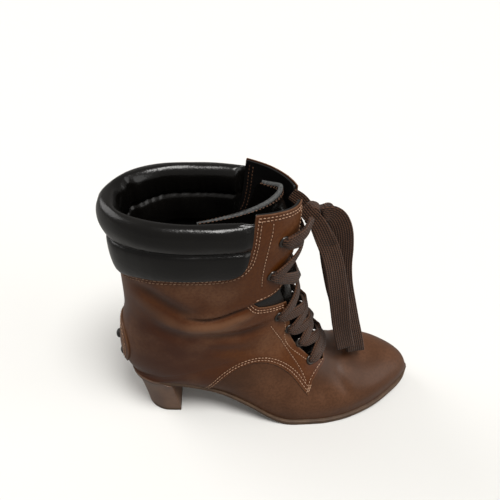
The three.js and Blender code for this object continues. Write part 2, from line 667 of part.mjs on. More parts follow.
// Short strap from an eyelet to the knot
const knotPlace = { x: 0.54, y: -0.03, z: 0.895 };
const knotCentre = new THREE.Vector3(knotPlace.x * bootLength, knotPlace.y * ballWidth, knotPlace.z * shaftTop);
function knotStrap(eyelet) {
  const start = eyelet.point.clone().addScaledVector(eyelet.normal, laceLift);
  const end = knotCentre.clone().add(new THREE.Vector3(-1.5, eyelet.side * (knotLength / 2 + 0.2), -2));
  const middle = start.clone().lerp(end, 0.55).addScaledVector(eyelet.normal, 3.2);
  const curve = new THREE.CatmullRomCurve3([start, middle, end]);
  const section = laceSection(laceWidth, laceThickness);
  const rings = [];
  for (let k = 0; k <= 6; k += 1) {
    const run = curve.getTangent(k / 6);
    const out = eyelet.normal.clone().addScaledVector(run, -eyelet.normal.dot(run)).normalize();
    const across = new THREE.Vector3().crossVectors(run, out).normalize();
    const point = curve.getPoint(k / 6);
    rings.push(section.map(([h, w]) => point.clone().addScaledVector(out, h).addScaledVector(across, w)));
  }
  return solid(loft(rings));
}

function makeLacing() {
  let lacing = strap(eyelets[0][0], eyelets[0][1]);
  for (let k = 0; k < eyelets.length - 1; k += 1) {
    lacing = lacing.add(strap(eyelets[k][0], eyelets[k + 1][1]));
    lacing = lacing.add(strap(eyelets[k + 1][0], eyelets[k][1]));
  }
  const top = eyelets[eyelets.length - 1];
  return shape(lacing.add(knotStrap(top[0])).add(knotStrap(top[1])));
}

function makeKnot() {
  const geometry = new THREE.SphereGeometry(1, 12, 8);
  geometry.scale(5.5, knotLength / 2, 6.5);
  geometry.translate(knotCentre.x, knotCentre.y, knotCentre.z);
  return geometry;
}

// The bow's free strands: points chosen by hand along each one, from the knot
const routes = {
  lace_loop_outer: [
    [140.6, -6, 188.5], [146, -6, 189.6], [151.5, -6, 185.5], [156, -7, 176.5], [159, -7, 163], [161.2, -7, 146],
    [165.3, -7, 128], [171.8, -7, 108], [178.3, -8, 88], [184.3, -9.5, 70], [187.8, -9, 58.5], [189.3, -4.5, 53.2],
    [188.6, 1.5, 53.2], [186.6, 6.5, 58.5], [182.8, 8.6, 70], [179.3, 9, 81], [172.3, 9, 102], [165.3, 9, 123],
    [159.3, 9, 144], [153.5, 9, 161.5], [147.5, 8, 174], [143.8, 6, 180.5], [140.6, 3.8, 186],
  ],
  lace_loop_inner: [
    [136, 6.8, 180.5], [141, 6.8, 181.5], [146.5, 12, 179], [151.5, 16.5, 173], [155.8, 18, 163], [160, 18, 149.5],
    [165, 18, 134.5], [171, 18, 117], [177.5, 18, 98], [183, 19, 81.5], [185.5, 21, 70], [184, 25, 65.8],
    [180.5, 28, 72], [174.5, 29, 92], [168.5, 29, 111], [162, 28, 130], [155, 26, 148], [147, 21.5, 162],
    [138.5, 13, 173],
  ],
  lace_end_outer: [
    [139.5, -10.4, 181.5], [142.5, -10.4, 175.5], [145.8, -11.4, 169.3], [149.2, -12.6, 162], [152.3, -13.6, 154],
    [155, -14, 145.5], [157.4, -14, 137], [159.7, -14, 128.8], [161.9, -14, 120.6], [164, -14, 112],
    [166.2, -13.8, 103], [168.4, -13.6, 94], [171.2, -13.2, 84.5], [174.5, -12.8, 74], [177.4, -12.5, 65],
  ],
  lace_end_inner: [
    [144, 2.9, 180.5], [146, 2.9, 175], [148, 2.4, 169.5], [150.2, 1.8, 162.5], [152.3, 1.4, 155],
    [154.3, 1.4, 147.5], [156.3, 1.4, 140], [158.4, 1.4, 132.5], [160.7, 1.4, 124.5], [163, 1.4, 117],
    [165.5, 1.4, 110], [168.2, 1.4, 102], [171, 1.4, 94], [174.5, 1.4, 83], [178.5, 1.4, 71],
  ],
};
function makeStrand(points) {
  const path = new THREE.CatmullRomCurve3(points.map((p) => new THREE.Vector3(...p)));
  const steps = Math.min(80, Math.ceil(path.getLength() / (0.6 * bowWidth)));
  const w = bowWidth / 2;
  const h = bowThickness / 2;
  const drawn = new THREE.Shape([[h, 0.6 * w], [0.45 * h, w], [-0.45 * h, w], [-h, 0.6 * w],
    [-h, -0.6 * w], [-0.45 * h, -w], [0.45 * h, -w], [h, -0.6 * w]].map((p) => new THREE.Vector2(...p)));
  return new THREE.ExtrudeGeometry(drawn, { steps, bevelEnabled: false, extrudePath: path });
}

// Materials
const finish = (color, roughness, metalness = 0) => ({ color, roughness, metalness });
const brownLeather = finish(0x54301e, 0.42);
const blackLeather = finish(0x1a1a1a, 0.32);
const heelCover = finish(0x5c4a3c, 0.5);
const soleRubber = finish(0x3a322b, 0.75);
const insoleBoard = finish(0x2a2522, 0.8);
const laceFabric = finish(0x4a372c, 0.9);
const eyeletMetal = finish(0x2b2725, 0.35, 0.9);
const studRubber = finish(0x1d1c1b, 0.6);

const boot = new THREE.Group();
function piece(name, geometry, look) {
  const mesh = new THREE.Mesh(geometry, new THREE.MeshStandardMaterial(look));
  mesh.name = name;
  boot.add(mesh);
}

piece('outsole', makeOutsole(), soleRubber);
piece('heel_block', makeHeelBlock(), heelCover);
piece('heel_top_lift', makeTopLift(), soleRubber);
piece('insole', makeInsole(), insoleBoard);
piece('upper', makeUpper(), brownLeather);
piece('padded_collar', makeCollar(), blackLeather);
piece('tongue', makeTongue(), blackLeather);
piece('heel_patch', makePatch(), brownLeather);
patch.studs.forEach((height, k) => piece(`heel_stud_${['upper', 'lower'][k]}`, makeStud(height), studRubber));
eyelets.forEach((pair, k) => pair.forEach((eyelet) => {
  piece(`eyelet_${eyelet.side < 0 ? 'outer' : 'inner'}_${k + 1}`, makeEyelet(eyelet), eyeletMetal);
}));
piece('lacing', makeLacing(), laceFabric);
piece('lace_knot', makeKnot(), laceFabric);
for (const [name, points] of Object.entries(routes)) piece(name, makeStrand(points), laceFabric);

// The origin is the middle of the heel's resting face
boot.position.x = -(heel.backBottom + heel.breastBottom) * 0.5 * bootLength;

export default boot;
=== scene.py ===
import math
import random

import bpy
import numpy as np
from mathutils import Matrix, Vector
from mathutils.bvhtree import BVHTree


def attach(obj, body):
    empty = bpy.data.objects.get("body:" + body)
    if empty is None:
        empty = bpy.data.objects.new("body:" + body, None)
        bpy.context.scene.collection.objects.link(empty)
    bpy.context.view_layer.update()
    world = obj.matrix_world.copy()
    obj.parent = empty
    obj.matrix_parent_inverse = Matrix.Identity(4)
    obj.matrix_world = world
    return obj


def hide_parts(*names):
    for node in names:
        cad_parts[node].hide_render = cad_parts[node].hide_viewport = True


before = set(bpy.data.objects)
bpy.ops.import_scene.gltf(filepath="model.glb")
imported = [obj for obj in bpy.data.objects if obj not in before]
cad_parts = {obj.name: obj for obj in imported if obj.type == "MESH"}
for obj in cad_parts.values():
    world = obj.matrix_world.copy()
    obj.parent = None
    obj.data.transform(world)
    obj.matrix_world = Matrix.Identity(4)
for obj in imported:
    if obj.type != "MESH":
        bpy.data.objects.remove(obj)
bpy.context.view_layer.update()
random.seed(7)
print("stage: frame loaded")

# Driving sizes, millimetres, as in the part's source
bootLength = 250.0
ballWidth = 80.0
shaftRise = 149.0
instepHeight = 55.0
backRise = 166.0
heelHeight = 43.0
toeSpring = 9.5
soleForefoot = 4.0
soleWaist = 3.0
soleMargin = 1.2
seatMargin = 0.2
clearance = 0.3
quarterStep = 0.9
shoeWall = 2.9
insoleThickness = 2.0
liftThickness = 3.5
collarPad = 9.0
collarBulge = 4.5
tonguePad = 3.4
patchThickness = 1.0
studRadius = 3.6
studHeight = 2.6
eyeletBore = 3.6
eyeletFlange = 6.6
flangeLift = 0.65
eyeletThickness = 0.9
laceWidth = 8.5
laceThickness = 1.9
bowWidth = 14.0
bowThickness = 1.5
seatStation = 8
lastStation = 25
heelRound = 2.15
thinnest = 0.5
originShift = 0.141 * bootLength
mm = 0.001


def inRow(points):
    return (np.asarray(points, float) - [originShift, 0, 0]) * mm


# Camera: the photograph's, found from landmarks on the boot
camera = {"azimuth": -8.007, "elevation": 38.643, "roll": 4.75, "focal": 521.777,
          "place": (0.02251, -0.27675, 0.37778)}


def makeCamera():
    a, e, r = (math.radians(camera[k]) for k in ("azimuth", "elevation", "roll"))
    back = Vector((math.sin(a) * math.cos(e), -math.cos(a) * math.cos(e), math.sin(e)))
    right = Vector((0, 0, 1)).cross(back).normalized()
    up = back.cross(right)
    turnedRight = right * math.cos(r) + up * math.sin(r)
    turnedUp = up * math.cos(r) - right * math.sin(r)
    data = bpy.data.cameras.new("photo_camera")
    data.sensor_fit = "HORIZONTAL"
    data.sensor_width = 36.0
    data.lens = 36.0 * camera["focal"] / 500.0
    data.clip_start = 0.01
    data.clip_end = 20
    thing = bpy.data.objects.new("photo_camera", data)
    bpy.context.scene.collection.objects.link(thing)
    thing.matrix_world = Matrix((
        (turnedRight.x, turnedUp.x, back.x, camera["place"][0]),
        (turnedRight.y, turnedUp.y, back.y, camera["place"][1]),
        (turnedRight.z, turnedUp.z, back.z, camera["place"][2]),
        (0, 0, 0, 1),
    ))
    bpy.context.scene.camera = thing


makeCamera()


# Node materials
class Look:
    def __init__(self, name):
        self.material = bpy.data.materials.new(name)
        self.material.use_nodes = True
        self.tree = self.material.node_tree
        self.shader = self.tree.nodes["Principled BSDF"]

    def put(self, socket, value):
        self.shader.inputs[socket].default_value = value

    def node(self, kind, inputs=None, **settings):
        made = self.tree.nodes.new(kind)
        for key, value in settings.items():
            setattr(made, key, value)
        for key, value in (inputs or {}).items():
            self.feed(made.inputs[key], value)
        return made

    def feed(self, socket, value):
        if isinstance(value, bpy.types.NodeSocket):
            self.tree.links.new(value, socket)
        else:
            socket.default_value = value

    def maths(self, operation, a, b=0.0, c=0.0, clamp=False):
        made = self.node("ShaderNodeMath", {0: a, 1: b, 2: c}, operation=operation, use_clamp=clamp)
        return made.outputs[0]

    def ramp(self, value, low, high, floor=0.0, top=1.0):
        made = self.node("ShaderNodeMapRange", {"Value": value, "From Min": low, "From Max": high,
                                                "To Min": floor, "To Max": top})
        made.interpolation_type = "SMOOTHSTEP"
        return made.outputs["Result"]

    def mix(self, share, a, b):
        made = self.node("ShaderNodeMix", data_type="RGBA")
        self.feed(made.inputs["Factor"], share)
        self.feed(made.inputs["A"], a)
        self.feed(made.inputs["B"], b)
        return made.outputs["Result"]

    def field(self, name):
        return self.node("ShaderNodeAttribute", attribute_name=name).outputs["Fac"]

    def place(self, scale=(1, 1, 1)):
        where = self.node("ShaderNodeTexCoord").outputs["Object"]
        return self.node("ShaderNodeMapping", {"Vector": where, "Scale": scale}).outputs["Vector"]

    def noise(self, scale, detail=3.0, rough=0.55, where=None):
        made = self.node("ShaderNodeTexNoise", {"Vector": where or self.place(), "Scale": scale,
                                                "Detail": detail, "Roughness": rough})
        return made.outputs["Fac"]

    def bump(self, height, distance, strength=1.0, under=None):
        made = self.node("ShaderNodeBump", {"Height": height, "Distance": distance, "Strength": strength})
        if under is not None:
            self.feed(made.inputs["Normal"], under)
        return made.outputs["Normal"]

    def finish(self, color, roughness, normal=None):
        self.feed(self.shader.inputs["Base Color"], color)
        self.feed(self.shader.inputs["Roughness"], roughness)
        if normal is not None:
            self.feed(self.shader.inputs["Normal"], normal)
        return self.material


def rgb(code):
    parts = [int(code[k:k + 2], 16) / 255 for k in (0, 2, 4)]
    return tuple(c / 12.92 if c < 0.04045 else ((c + 0.055) / 1.055) ** 2.4 for c in parts) + (1.0,)


# Leather grain shared by every leather: pebbles, pores and fine creases as heights
def makeGrain():
    group = bpy.data.node_groups.new("leather_grain", "ShaderNodeTree")
    group.interface.new_socket("Pebble", in_out="INPUT", socket_type="NodeSocketFloat")
    group.interface.new_socket("Height", in_out="OUTPUT", socket_type="NodeSocketFloat")
    group.interface.new_socket("Cloud", in_out="OUTPUT", socket_type="NodeSocketFloat")
    nodes, links = group.nodes, group.links
    source = nodes.new("NodeGroupInput")
    sink = nodes.new("NodeGroupOutput")
    where = nodes.new("ShaderNodeTexCoord")
    pebble = nodes.new("ShaderNodeTexVoronoi")
    pebble.feature = "SMOOTH_F1"
    fine = nodes.new("ShaderNodeTexNoise")
    fine.inputs["Scale"].default_value = 900
    fine.inputs["Detail"].default_value = 3
    cloud = nodes.new("ShaderNodeTexNoise")
    cloud.inputs["Scale"].default_value = 22
    cloud.inputs["Detail"].default_value = 4
    total = nodes.new("ShaderNodeMath")
    total.operation = "MULTIPLY_ADD"
    total.inputs[1].default_value = 0.6
    for texture in (pebble, fine, cloud):
        links.new(where.outputs["Object"], texture.inputs["Vector"])
    links.new(source.outputs["Pebble"], pebble.inputs["Scale"])
    links.new(pebble.outputs["Distance"], total.inputs[0])
    links.new(fine.outputs["Fac"], total.inputs[2])
    links.new(total.outputs[0], sink.inputs["Height"])
    links.new(cloud.outputs["Fac"], sink.inputs["Cloud"])
    return group


grainGroup = makeGrain()


def grain(look, pebble):
    made = look.node("ShaderNodeGroup")
    made.node_tree = grainGroup
    made.inputs["Pebble"].default_value = pebble
    return made.outputs["Height"], made.outputs["Cloud"]


def brownLeather(name, dark, middle, light, edgeTone, gloss):
    look = Look(name)
    height, cloud = grain(look, 950)
    fold, edge, seam = look.field("fold"), look.field("edge"), look.field("seam")
    broad = look.noise(9, 3, 0.5, look.place((1, 1, 1.6)))
    tone = look.mix(look.ramp(broad, 0.36, 0.64), rgb(dark), rgb(middle))
    tone = look.mix(look.maths("MULTIPLY", look.ramp(cloud, 0.42, 0.66), 0.5), tone, rgb(light))
    speckle = look.noise(520, 2)
    tone = look.mix(look.ramp(speckle, 0.35, 0.7, 0.0, 0.4), tone, rgb(dark))
    # painted light: crease ridges (fold above nought) are painted lighter as a painted highlight, and
    # crease troughs (fold below nought) are painted darker towards 241208 as painted shade
    tone = look.mix(look.ramp(fold, 0.05, 0.9, 0.0, 0.6), tone, rgb(light))
    tone = look.mix(look.ramp(fold, -0.08, -0.95, 0.0, 0.6), tone, rgb("241208"))
    tone = look.mix(look.ramp(seam, 1.7, 0.4, 0.0, 0.35), tone, rgb(dark))
    tone = look.mix(look.ramp(edge, 0.6, 0.1, 0.0, 0.6), tone, rgb(edgeTone))
    pull = look.maths("MULTIPLY", look.ramp(seam, 1.1, 0.0), -1.0)
    normal = look.bump(pull, 0.00022)
    normal = look.bump(height, 0.00007, 0.7, normal)
    worn = look.ramp(fold, 0.1, 1.0, 0.0, 0.08)
    rough = look.maths("SUBTRACT", look.ramp(cloud, 0.3, 0.7, gloss - 0.05, gloss + 0.09), worn)
    look.put("Specular IOR Level", 0.27)
    look.put("Coat Weight", 0.03)
    look.put("Coat Roughness", 0.35)
    return look.finish(tone, rough, normal)


def blackLeather(name, gloss, tone, light):
    look = Look(name)
    height, cloud = grain(look, 800)
    wrinkle = look.noise(120, 4, 0.6, look.place((1, 1, 2.4)))
    color = look.mix(look.ramp(cloud, 0.35, 0.7, 0.0, 0.5), rgb(tone), rgb(light))
    normal = look.bump(wrinkle, 0.0005, 0.35)
    normal = look.bump(height, 0.00008, 0.7, normal)
    look.put("Specular IOR Level", 0.34)
    look.put("Coat Weight", 0.05)
    look.put("Coat Roughness", 0.18)
    return look.finish(color, look.ramp(cloud, 0.3, 0.7, gloss - 0.04, gloss + 0.08), normal)


# weave colours: dark is the painted shade in the weave's grooves, light the painted highlight on its ribs
# and knots
weave = {"rib": 1.55, "row": 1.9, "dark": "180e08", "light": "5a3b28"}


def laceTextile():
    look = Look("lace_weave")
    across, along = look.field("across"), look.field("along")
    rib = look.maths("SINE", look.maths("MULTIPLY", across, 2 * math.pi / weave["rib"]))
    row = look.maths("FLOOR", look.maths("MULTIPLY", across, 1 / weave["rib"]))
    shifted = look.maths("ADD", look.maths("MULTIPLY", along, 2 * math.pi / weave["row"]),
                         look.maths("MULTIPLY", row, math.pi))
    knots = look.maths("SINE", shifted)
    height = look.maths("ADD", look.maths("MULTIPLY", rib, 0.6), look.maths("MULTIPLY", knots, 0.45))
    spots = look.noise(260, 3)
    # painted light: the weave's raised ribs and knots are painted lighter and its grooves darker, as
    # painted highlight and painted shade of the weave's relief, with random spots as well
    shade = look.maths("ADD", look.maths("MULTIPLY", height, 0.42), look.maths("MULTIPLY", spots, 0.5))
    tone = look.mix(look.ramp(shade, -0.25, 0.75), rgb(weave["dark"]), rgb(weave["light"]))
    look.put("Sheen Weight", 0.12)
    look.put("Sheen Roughness", 0.5)
    look.put("Specular IOR Level", 0.25)
    return look.finish(tone, 0.82, look.bump(height, 0.0004, 0.8))


def plainLook(name, tone, roughness, light=None, metallic=0.0, scale=300, relief=0.00005):
    look = Look(name)
    spots = look.noise(scale, 3)
    color = look.mix(look.ramp(spots, 0.35, 0.7), rgb(tone), rgb(light or tone))
    look.put("Metallic", metallic)
    return look.finish(color, roughness, look.bump(spots, relief))


looks = {
    # each light tone serves both for random lighter clouds and for the painted highlight on crease ridges
    "quarter": brownLeather("quarter_leather", dark="431f09", middle="5c3211", light="805a40",
                            edgeTone="6f4f38", gloss=0.36),
    "vamp": brownLeather("vamp_leather", dark="3d2413", middle="52331f", light="704b34",
                         edgeTone="6a4a34", gloss=0.40),
    "collar": blackLeather("collar_leather", gloss=0.21, tone="080706", light="151311"),
    "lining": blackLeather("lining_leather", gloss=0.36, tone="111010", light="232120"),
    "heel": plainLook("heel_cover_leather", "65493a", 0.40, "785b48", scale=60),
    "sole": plainLook("sole_edge_rubber", "4a3626", 0.55, "5a4431", scale=160),
    "insole": plainLook("insole_cover", "161413", 0.7, "211e1c"),
    "lace": laceTextile(),
    "eyelet": plainLook("eyelet_metal", "4a4643", 0.3, "5d5854", metallic=0.95),
    "stud": plainLook("stud_rubber_finish", "151413", 0.45, "201e1d"),
    "thread": plainLook("tan_thread", "8f6a50", 0.6, "c39f83", scale=500),
    "darkThread": plainLook("brown_thread", "4f3424", 0.6, "7a573f", scale=500),
    "rawEdge": plainLook("cut_edge_felt", "3a3b3c", 0.85, "5a5b5a", scale=700, relief=0.0001),
}


def makePiece(name, points, faces, look, replaced=(), fields=None, smooth=True, sharp=None):
    mesh = bpy.data.meshes.new(name)
    mesh.from_pydata([tuple(p) for p in inRow(points)], [], [tuple(int(i) for i in f) for f in faces])
    mesh.validate(verbose=False)
    for key, values in (fields or {}).items():
        layer = mesh.attributes.new(key, "FLOAT", "POINT")
        layer.data.foreach_set("value", np.asarray(values, np.float32))
    mesh.polygons.foreach_set("use_smooth", [smooth] * len(mesh.polygons))
    if smooth and sharp:
        mesh.set_sharp_from_angle(angle=math.radians(sharp))
    mesh.materials.append(looks[look])
    thing = bpy.data.objects.new(name, mesh)
    bpy.context.scene.collection.objects.link(thing)
    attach(thing, "root")
    if replaced:
        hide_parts(*replaced)
    return thing


# Small helpers for lines and shares
def between(a, b, c, d, s):  # on the smooth curve from b to c, s of the way along
    return 0.5 * (2 * b + (c - a) * s + (2 * a - 5 * b + 4 * c - d) * s ** 2
                  + (3 * b - a - 3 * c + d) * s ** 3)


def ease(share):  # starts and stops gently
    return share * share * (3 - 2 * share)


def squarer(values, power):  # a sine or cosine pushed out towards a square
    return np.sign(values) * np.abs(values) ** power


def travelled(points):  # length from the line's start to each point
    return np.r_[0, np.cumsum(np.linalg.norm(np.diff(points, axis=0), axis=1))]


def directions(points):
    run = np.gradient(points, axis=0)
    return run / np.linalg.norm(run, axis=1)[:, None]


# A smooth curve through points, in even steps, and the length travelled at each
def smoothPath(points, step):
    p = np.asarray(points, float)
    p = np.vstack([2 * p[0] - p[1], p, 2 * p[-1] - p[-2]])
    s = np.linspace(0, 1, 24, endpoint=False)[:, None]
    found = [between(p[k - 1], p[k], p[k + 1], p[k + 2], s) for k in range(1, len(p) - 2)]
    fine = np.vstack(found + [p[-2:-1]])
    length = travelled(fine)
    count = max(int(math.ceil(length[-1] / step)), 2)
    at = np.linspace(0, length[-1], count + 1)
    return np.stack([np.interp(at, length, fine[:, k]) for k in range(p.shape[1])], 1), at


# Quads between rings of as many corners each, with the first and last ring as end faces
def loftFaces(rings, count, closedEnds=True):
    faces = []
    for i in range(rings - 1):
        for j in range(count):
            k = (j + 1) % count
            faces.append((i * count + j, i * count + k, (i + 1) * count + k, (i + 1) * count + j))
    if closedEnds:
        faces.append(tuple(reversed(range(count))))
        faces.append(tuple(range((rings - 1) * count, rings * count)))
    return faces


# A flat lace along a path. Its thin direction starts near first and is carried along;
# twist turns it further. Width and thickness are one value, or one for each point of the path.
def ribbon(path, along, first, width, thickness, twist=None, cup=0.0, sides=22):
    run = directions(path)
    thin = []
    now = np.asarray(first, float)
    for k in range(len(path)):
        now = now - run[k] * now.dot(run[k])
        now = now / np.linalg.norm(now)
        thin.append(now)
    thin = np.array(thin)
    wide = np.cross(run, thin)
    if twist is not None:
        c, s = np.cos(twist)[:, None], np.sin(twist)[:, None]
        thin, wide = thin * c + wide * s, wide * c - thin * s
    a = np.linspace(0, 2 * math.pi, sides, endpoint=False)
    across = squarer(np.cos(a), 0.55)
    lift = squarer(np.sin(a), 0.6)
    w = np.broadcast_to(np.asarray(width, float), (len(path),))
    h = np.broadcast_to(np.asarray(thickness, float), (len(path),))
    points = (path[:, None] + wide[:, None] * (across[None, :, None] * w[:, None, None] / 2)
              + thin[:, None] * ((lift[None, :] * h[:, None] / 2)
                                 - cup * (across[None, :] ** 2) * w[:, None])[..., None])
    rings, count = points.shape[:2]
    faces = []
    for i in range(rings - 1):
        for j in range(count):
            k = (j + 1) % count
            faces.append((i * count + j, (i + 1) * count + j, (i + 1) * count + k, i * count + k))
    faces.append(tuple(range(count)))
    faces.append(tuple(reversed(range((rings - 1) * count, rings * count))))
    fields = {"across": (across[None, :] * w[:, None] / 2).ravel(),
              "along": np.repeat(along, count)}
    return points.reshape(-1, 3), faces, fields


def joined(parts):
    points, faces, fields, base = [], [], {}, 0
    for p, f, d in parts:
        points.append(p)
        faces += [tuple(i + base for i in face) for face in f]
        for key, values in d.items():
            fields.setdefault(key, []).append(values)
        base += len(p)
    return np.vstack(points), faces, {key: np.concatenate(v) for key, v in fields.items()}


# The bow's free strands: the same points as the part's, from the knot
routes = {
    "lace_loop_outer": [
        [140.6, -6, 188.5], [146, -6, 189.6], [151.5, -6, 185.5], [156, -7, 176.5], [159, -7, 163],
        [161.2, -7, 146], [165.3, -7, 128], [171.8, -7, 108], [178.3, -8, 88], [184.3, -9.5, 70],
        [187.8, -9, 58.5],
        [189.3, -4.5, 53.2], [188.6, 1.5, 53.2], [186.6, 6.5, 58.5], [182.8, 8.6, 70], [179.3, 9, 81],
        [172.3, 9, 102], [165.3, 9, 123], [159.3, 9, 144], [153.5, 9, 161.5], [147.5, 8, 174],
        [143.8, 6, 180.5], [140.6, 3.8, 186],
    ],
    "lace_loop_inner": [
        [136, 6.8, 180.5], [141, 6.8, 181.5], [146.5, 12, 179], [151.5, 16.5, 173], [155.8, 18, 163],
        [160, 18, 149.5], [165, 18, 134.5], [171, 18, 117], [177.5, 18, 98], [183, 19, 81.5],
        [185.5, 21, 70], [184, 25, 65.8], [180.5, 28, 72], [174.5, 29, 92],
        [168.5, 29, 111], [162, 28, 130], [155, 26, 148],
        [147, 21.5, 162], [138.5, 13, 173],
    ],
    "lace_end_outer": [
        [139.5, -10.4, 181.5], [142.5, -10.4, 175.5], [145.8, -11.4, 169.3], [149.2, -12.6, 162],
        [152.3, -13.6, 154], [155, -14, 145.5], [157.4, -14, 137], [159.7, -14, 128.8], [161.9, -14, 120.6],
        [164, -14, 112], [166.2, -13.8, 103], [168.4, -13.6, 94], [171.2, -13.2, 84.5], [174.5, -12.8, 74],
        [177.4, -12.5, 65],
    ],
    "lace_end_inner": [
        [144, 2.9, 180.5], [146, 2.9, 175], [148, 2.4, 169.5], [150.2, 1.8, 162.5], [152.3, 1.4, 155],
        [154.3, 1.4, 147.5], [156.3, 1.4, 140], [158.4, 1.4, 132.5], [160.7, 1.4, 124.5], [163, 1.4, 117],
        [165.5, 1.4, 110], [168.2, 1.4, 102], [171, 1.4, 94], [174.5, 1.4, 83], [178.5, 1.4, 71],
    ],
}
shaftTopHeight = 210.45  # where the part's shaft ends above the floor
knot = {
    "centre": (0.54, -0.03, 0.895),  # shares of boot length, ball width and shaft top
    "radii": (4.6, 6.2, 5.6),
    "thickness": 1.7,
    "swell": 0.6,
    "turns": [
        {"axis": (0.15, 1.0, 0.10), "size": 1.00, "wide": 8.0, "from": 0.3},
        {"axis": (0.55, 0.75, -0.45), "size": 0.86, "wide": 7.0, "from": 1.9},
        {"axis": (-0.5, 0.85, 0.35), "size": 0.80, "wide": 7.0, "from": 4.0},
    ],
    "drapes": [
        {"path": [[122, 7, 196], [127.5, 5, 192.8], [132.5, 2, 188], [138, -2, 186], [143, -5, 185.2]],
         "wide": (8.5, 13)},
        {"path": [[128, -5, 193.5], [131.5, -7.5, 190], [136.2, -9.8, 186], [140.4, -11, 179.8],
                  [143.8, -11.8, 173.2], [146.6, -12.4, 167.5]],
         "wide": (9.5, 12.9)},
    ],
    "drapeThickness": 1.8,
    "drapeTaper": 1.6,
    "drapeCup": 0.05,
}
knotCentre = np.array(knot["centre"]) * [bootLength, ballWidth, shaftTopHeight]


def makeKnot():
    parts = []
    for turn in knot["turns"]:
        axis = Vector(turn["axis"]).normalized()
        side = axis.orthogonal().normalized()
        other = axis.cross(side)
        a = np.linspace(0, 2 * math.pi, 37) + turn["from"]
        circle = np.outer(np.cos(a), side) + np.outer(np.sin(a), other)
        path = knotCentre + circle * np.array(knot["radii"]) * turn["size"]
        wide = turn["wide"] + knot["swell"] * np.sin(3 * a)
        parts.append(ribbon(path, travelled(path), circle[0], wide, knot["thickness"]))
    for drape in knot["drapes"]:
        path, along = smoothPath(drape["path"], 1.2)
        share = along / along[-1]
        wide = np.interp(share, [0, 1], drape["wide"])
        ending = np.clip(share * 3.2 - 2.2, 0, 1)  # over the last third
        thin = knot["drapeThickness"] - knot["drapeTaper"] * ending ** 1.5
        parts.append(ribbon(path, along, (0, 1, 0), wide, thin, None, knot["drapeCup"]))
    points, faces, fields = joined(parts)
    return makePiece("lace_knot_wraps", points, faces, "lace", ["lace_knot"], fields)


bow = {
    "step": 1.6,
    "gather": 9,  # how far from the knot a strand stays pinched
    "loopPinch": 0.22,
    "endPinch": 0.12,
    "sway": 0.02,
    "swell": 0.7,
    "twist": 0.16,
    "cup": 0.035,
    "phases": {"lace_loop_outer": 0.4, "lace_loop_inner": 2.1,
               "lace_end_outer": 3.3, "lace_end_inner": 5.2},
}


def makeBow():
    knotPiece = makeKnot()
    for name, route in routes.items():
        path, along = smoothPath(route, bow["step"])
        share = along / along[-1]
        loop = "loop" in name
        pinch = np.exp(-(along / bow["gather"]) ** 2)
        if loop:
            pinch = pinch + np.exp(-((along[-1] - along) / bow["gather"]) ** 2)
        phase = bow["phases"][name]
        narrow = bow["loopPinch"] if loop else bow["endPinch"]
        width = bowWidth * (1 - narrow * pinch + bow["sway"] * np.sin(9 * share + phase))
        thick = bowThickness * (1 + bow["swell"] * pinch)
        twist = bow["twist"] * np.sin(2 * math.pi * share * (2 if loop else 1) + phase) * (1 - pinch)
        points, faces, fields = ribbon(path, along, (0, 1, 0), width, thick, twist, bow["cup"])
        thing = makePiece(name + "_strand", points, faces, "lace", [name], fields)
        print("cord", name, round(along[-1], 1), "mm")


makeBow()
print("stage: bow")


# Monotone cubic through a table's column, by row number
def columnCurve(values):
    v = np.array(values, float)
    step = np.diff(v)
    slope = np.empty(len(v))
    slope[0], slope[-1] = step[0], step[-1]
    a, b = step[:-1], step[1:]
    slope[1:-1] = np.where(a * b <= 0, 0, 2 * a * b / np.where(a + b == 0, 1, a + b))

    def at(row):
        u = np.clip(np.asarray(row, float), 0, len(v) - 1)
        k = np.minimum(u.astype(int), len(v) - 2)
        s = u - k
        h = ease(s)
        return v[k] * (1 - h) + v[k + 1] * h + slope[k] * s * (1 - s) ** 2 - slope[k + 1] * s * s * (1 - s)
    return at


def tableCurves(names, rows):
    return {name: columnCurve([row[k] for row in rows]) for k, name in enumerate(names)}


soleLine = tableCurves(["x", "arch", "spring", "waist"], [
    [-0.02, 1.0, 0, 1], [0.10, 0.985, 0, 1], [0.18, 0.955, 0, 1], [0.22, 0.90, 0, 1], [0.26, 0.80, 0, 1],
    [0.304, 0.67, 0, 1], [0.364, 0.51, 0, 1], [0.42, 0.34, 0, 1], [0.476, 0.15, 0, 0.7],
    [0.512, 0.045, 0, 0.3], [0.545, 0, 0, 0], [0.632, 0, 0, 0],
    [0.692, 0, 0.07, 0], [0.784, 0, 0.30, 0], [0.86, 0, 0.55, 0],
    [0.928, 0, 0.79, 0], [1.01, 0, 1.02, 0],
])
soleRows = np.linspace(0, 16, 4001)
soleXs = soleLine["x"](soleRows)


def soleUnder(x):
    row = np.interp(np.asarray(x) / bootLength, soleXs, soleRows)
    return heelHeight * soleLine["arch"](row) + toeSpring * soleLine["spring"](row)


def soleTop(x):
    row = np.interp(np.asarray(x) / bootLength, soleXs, soleRows)
    return soleUnder(x) + soleForefoot + (soleWaist - soleForefoot) * soleLine["waist"](row)


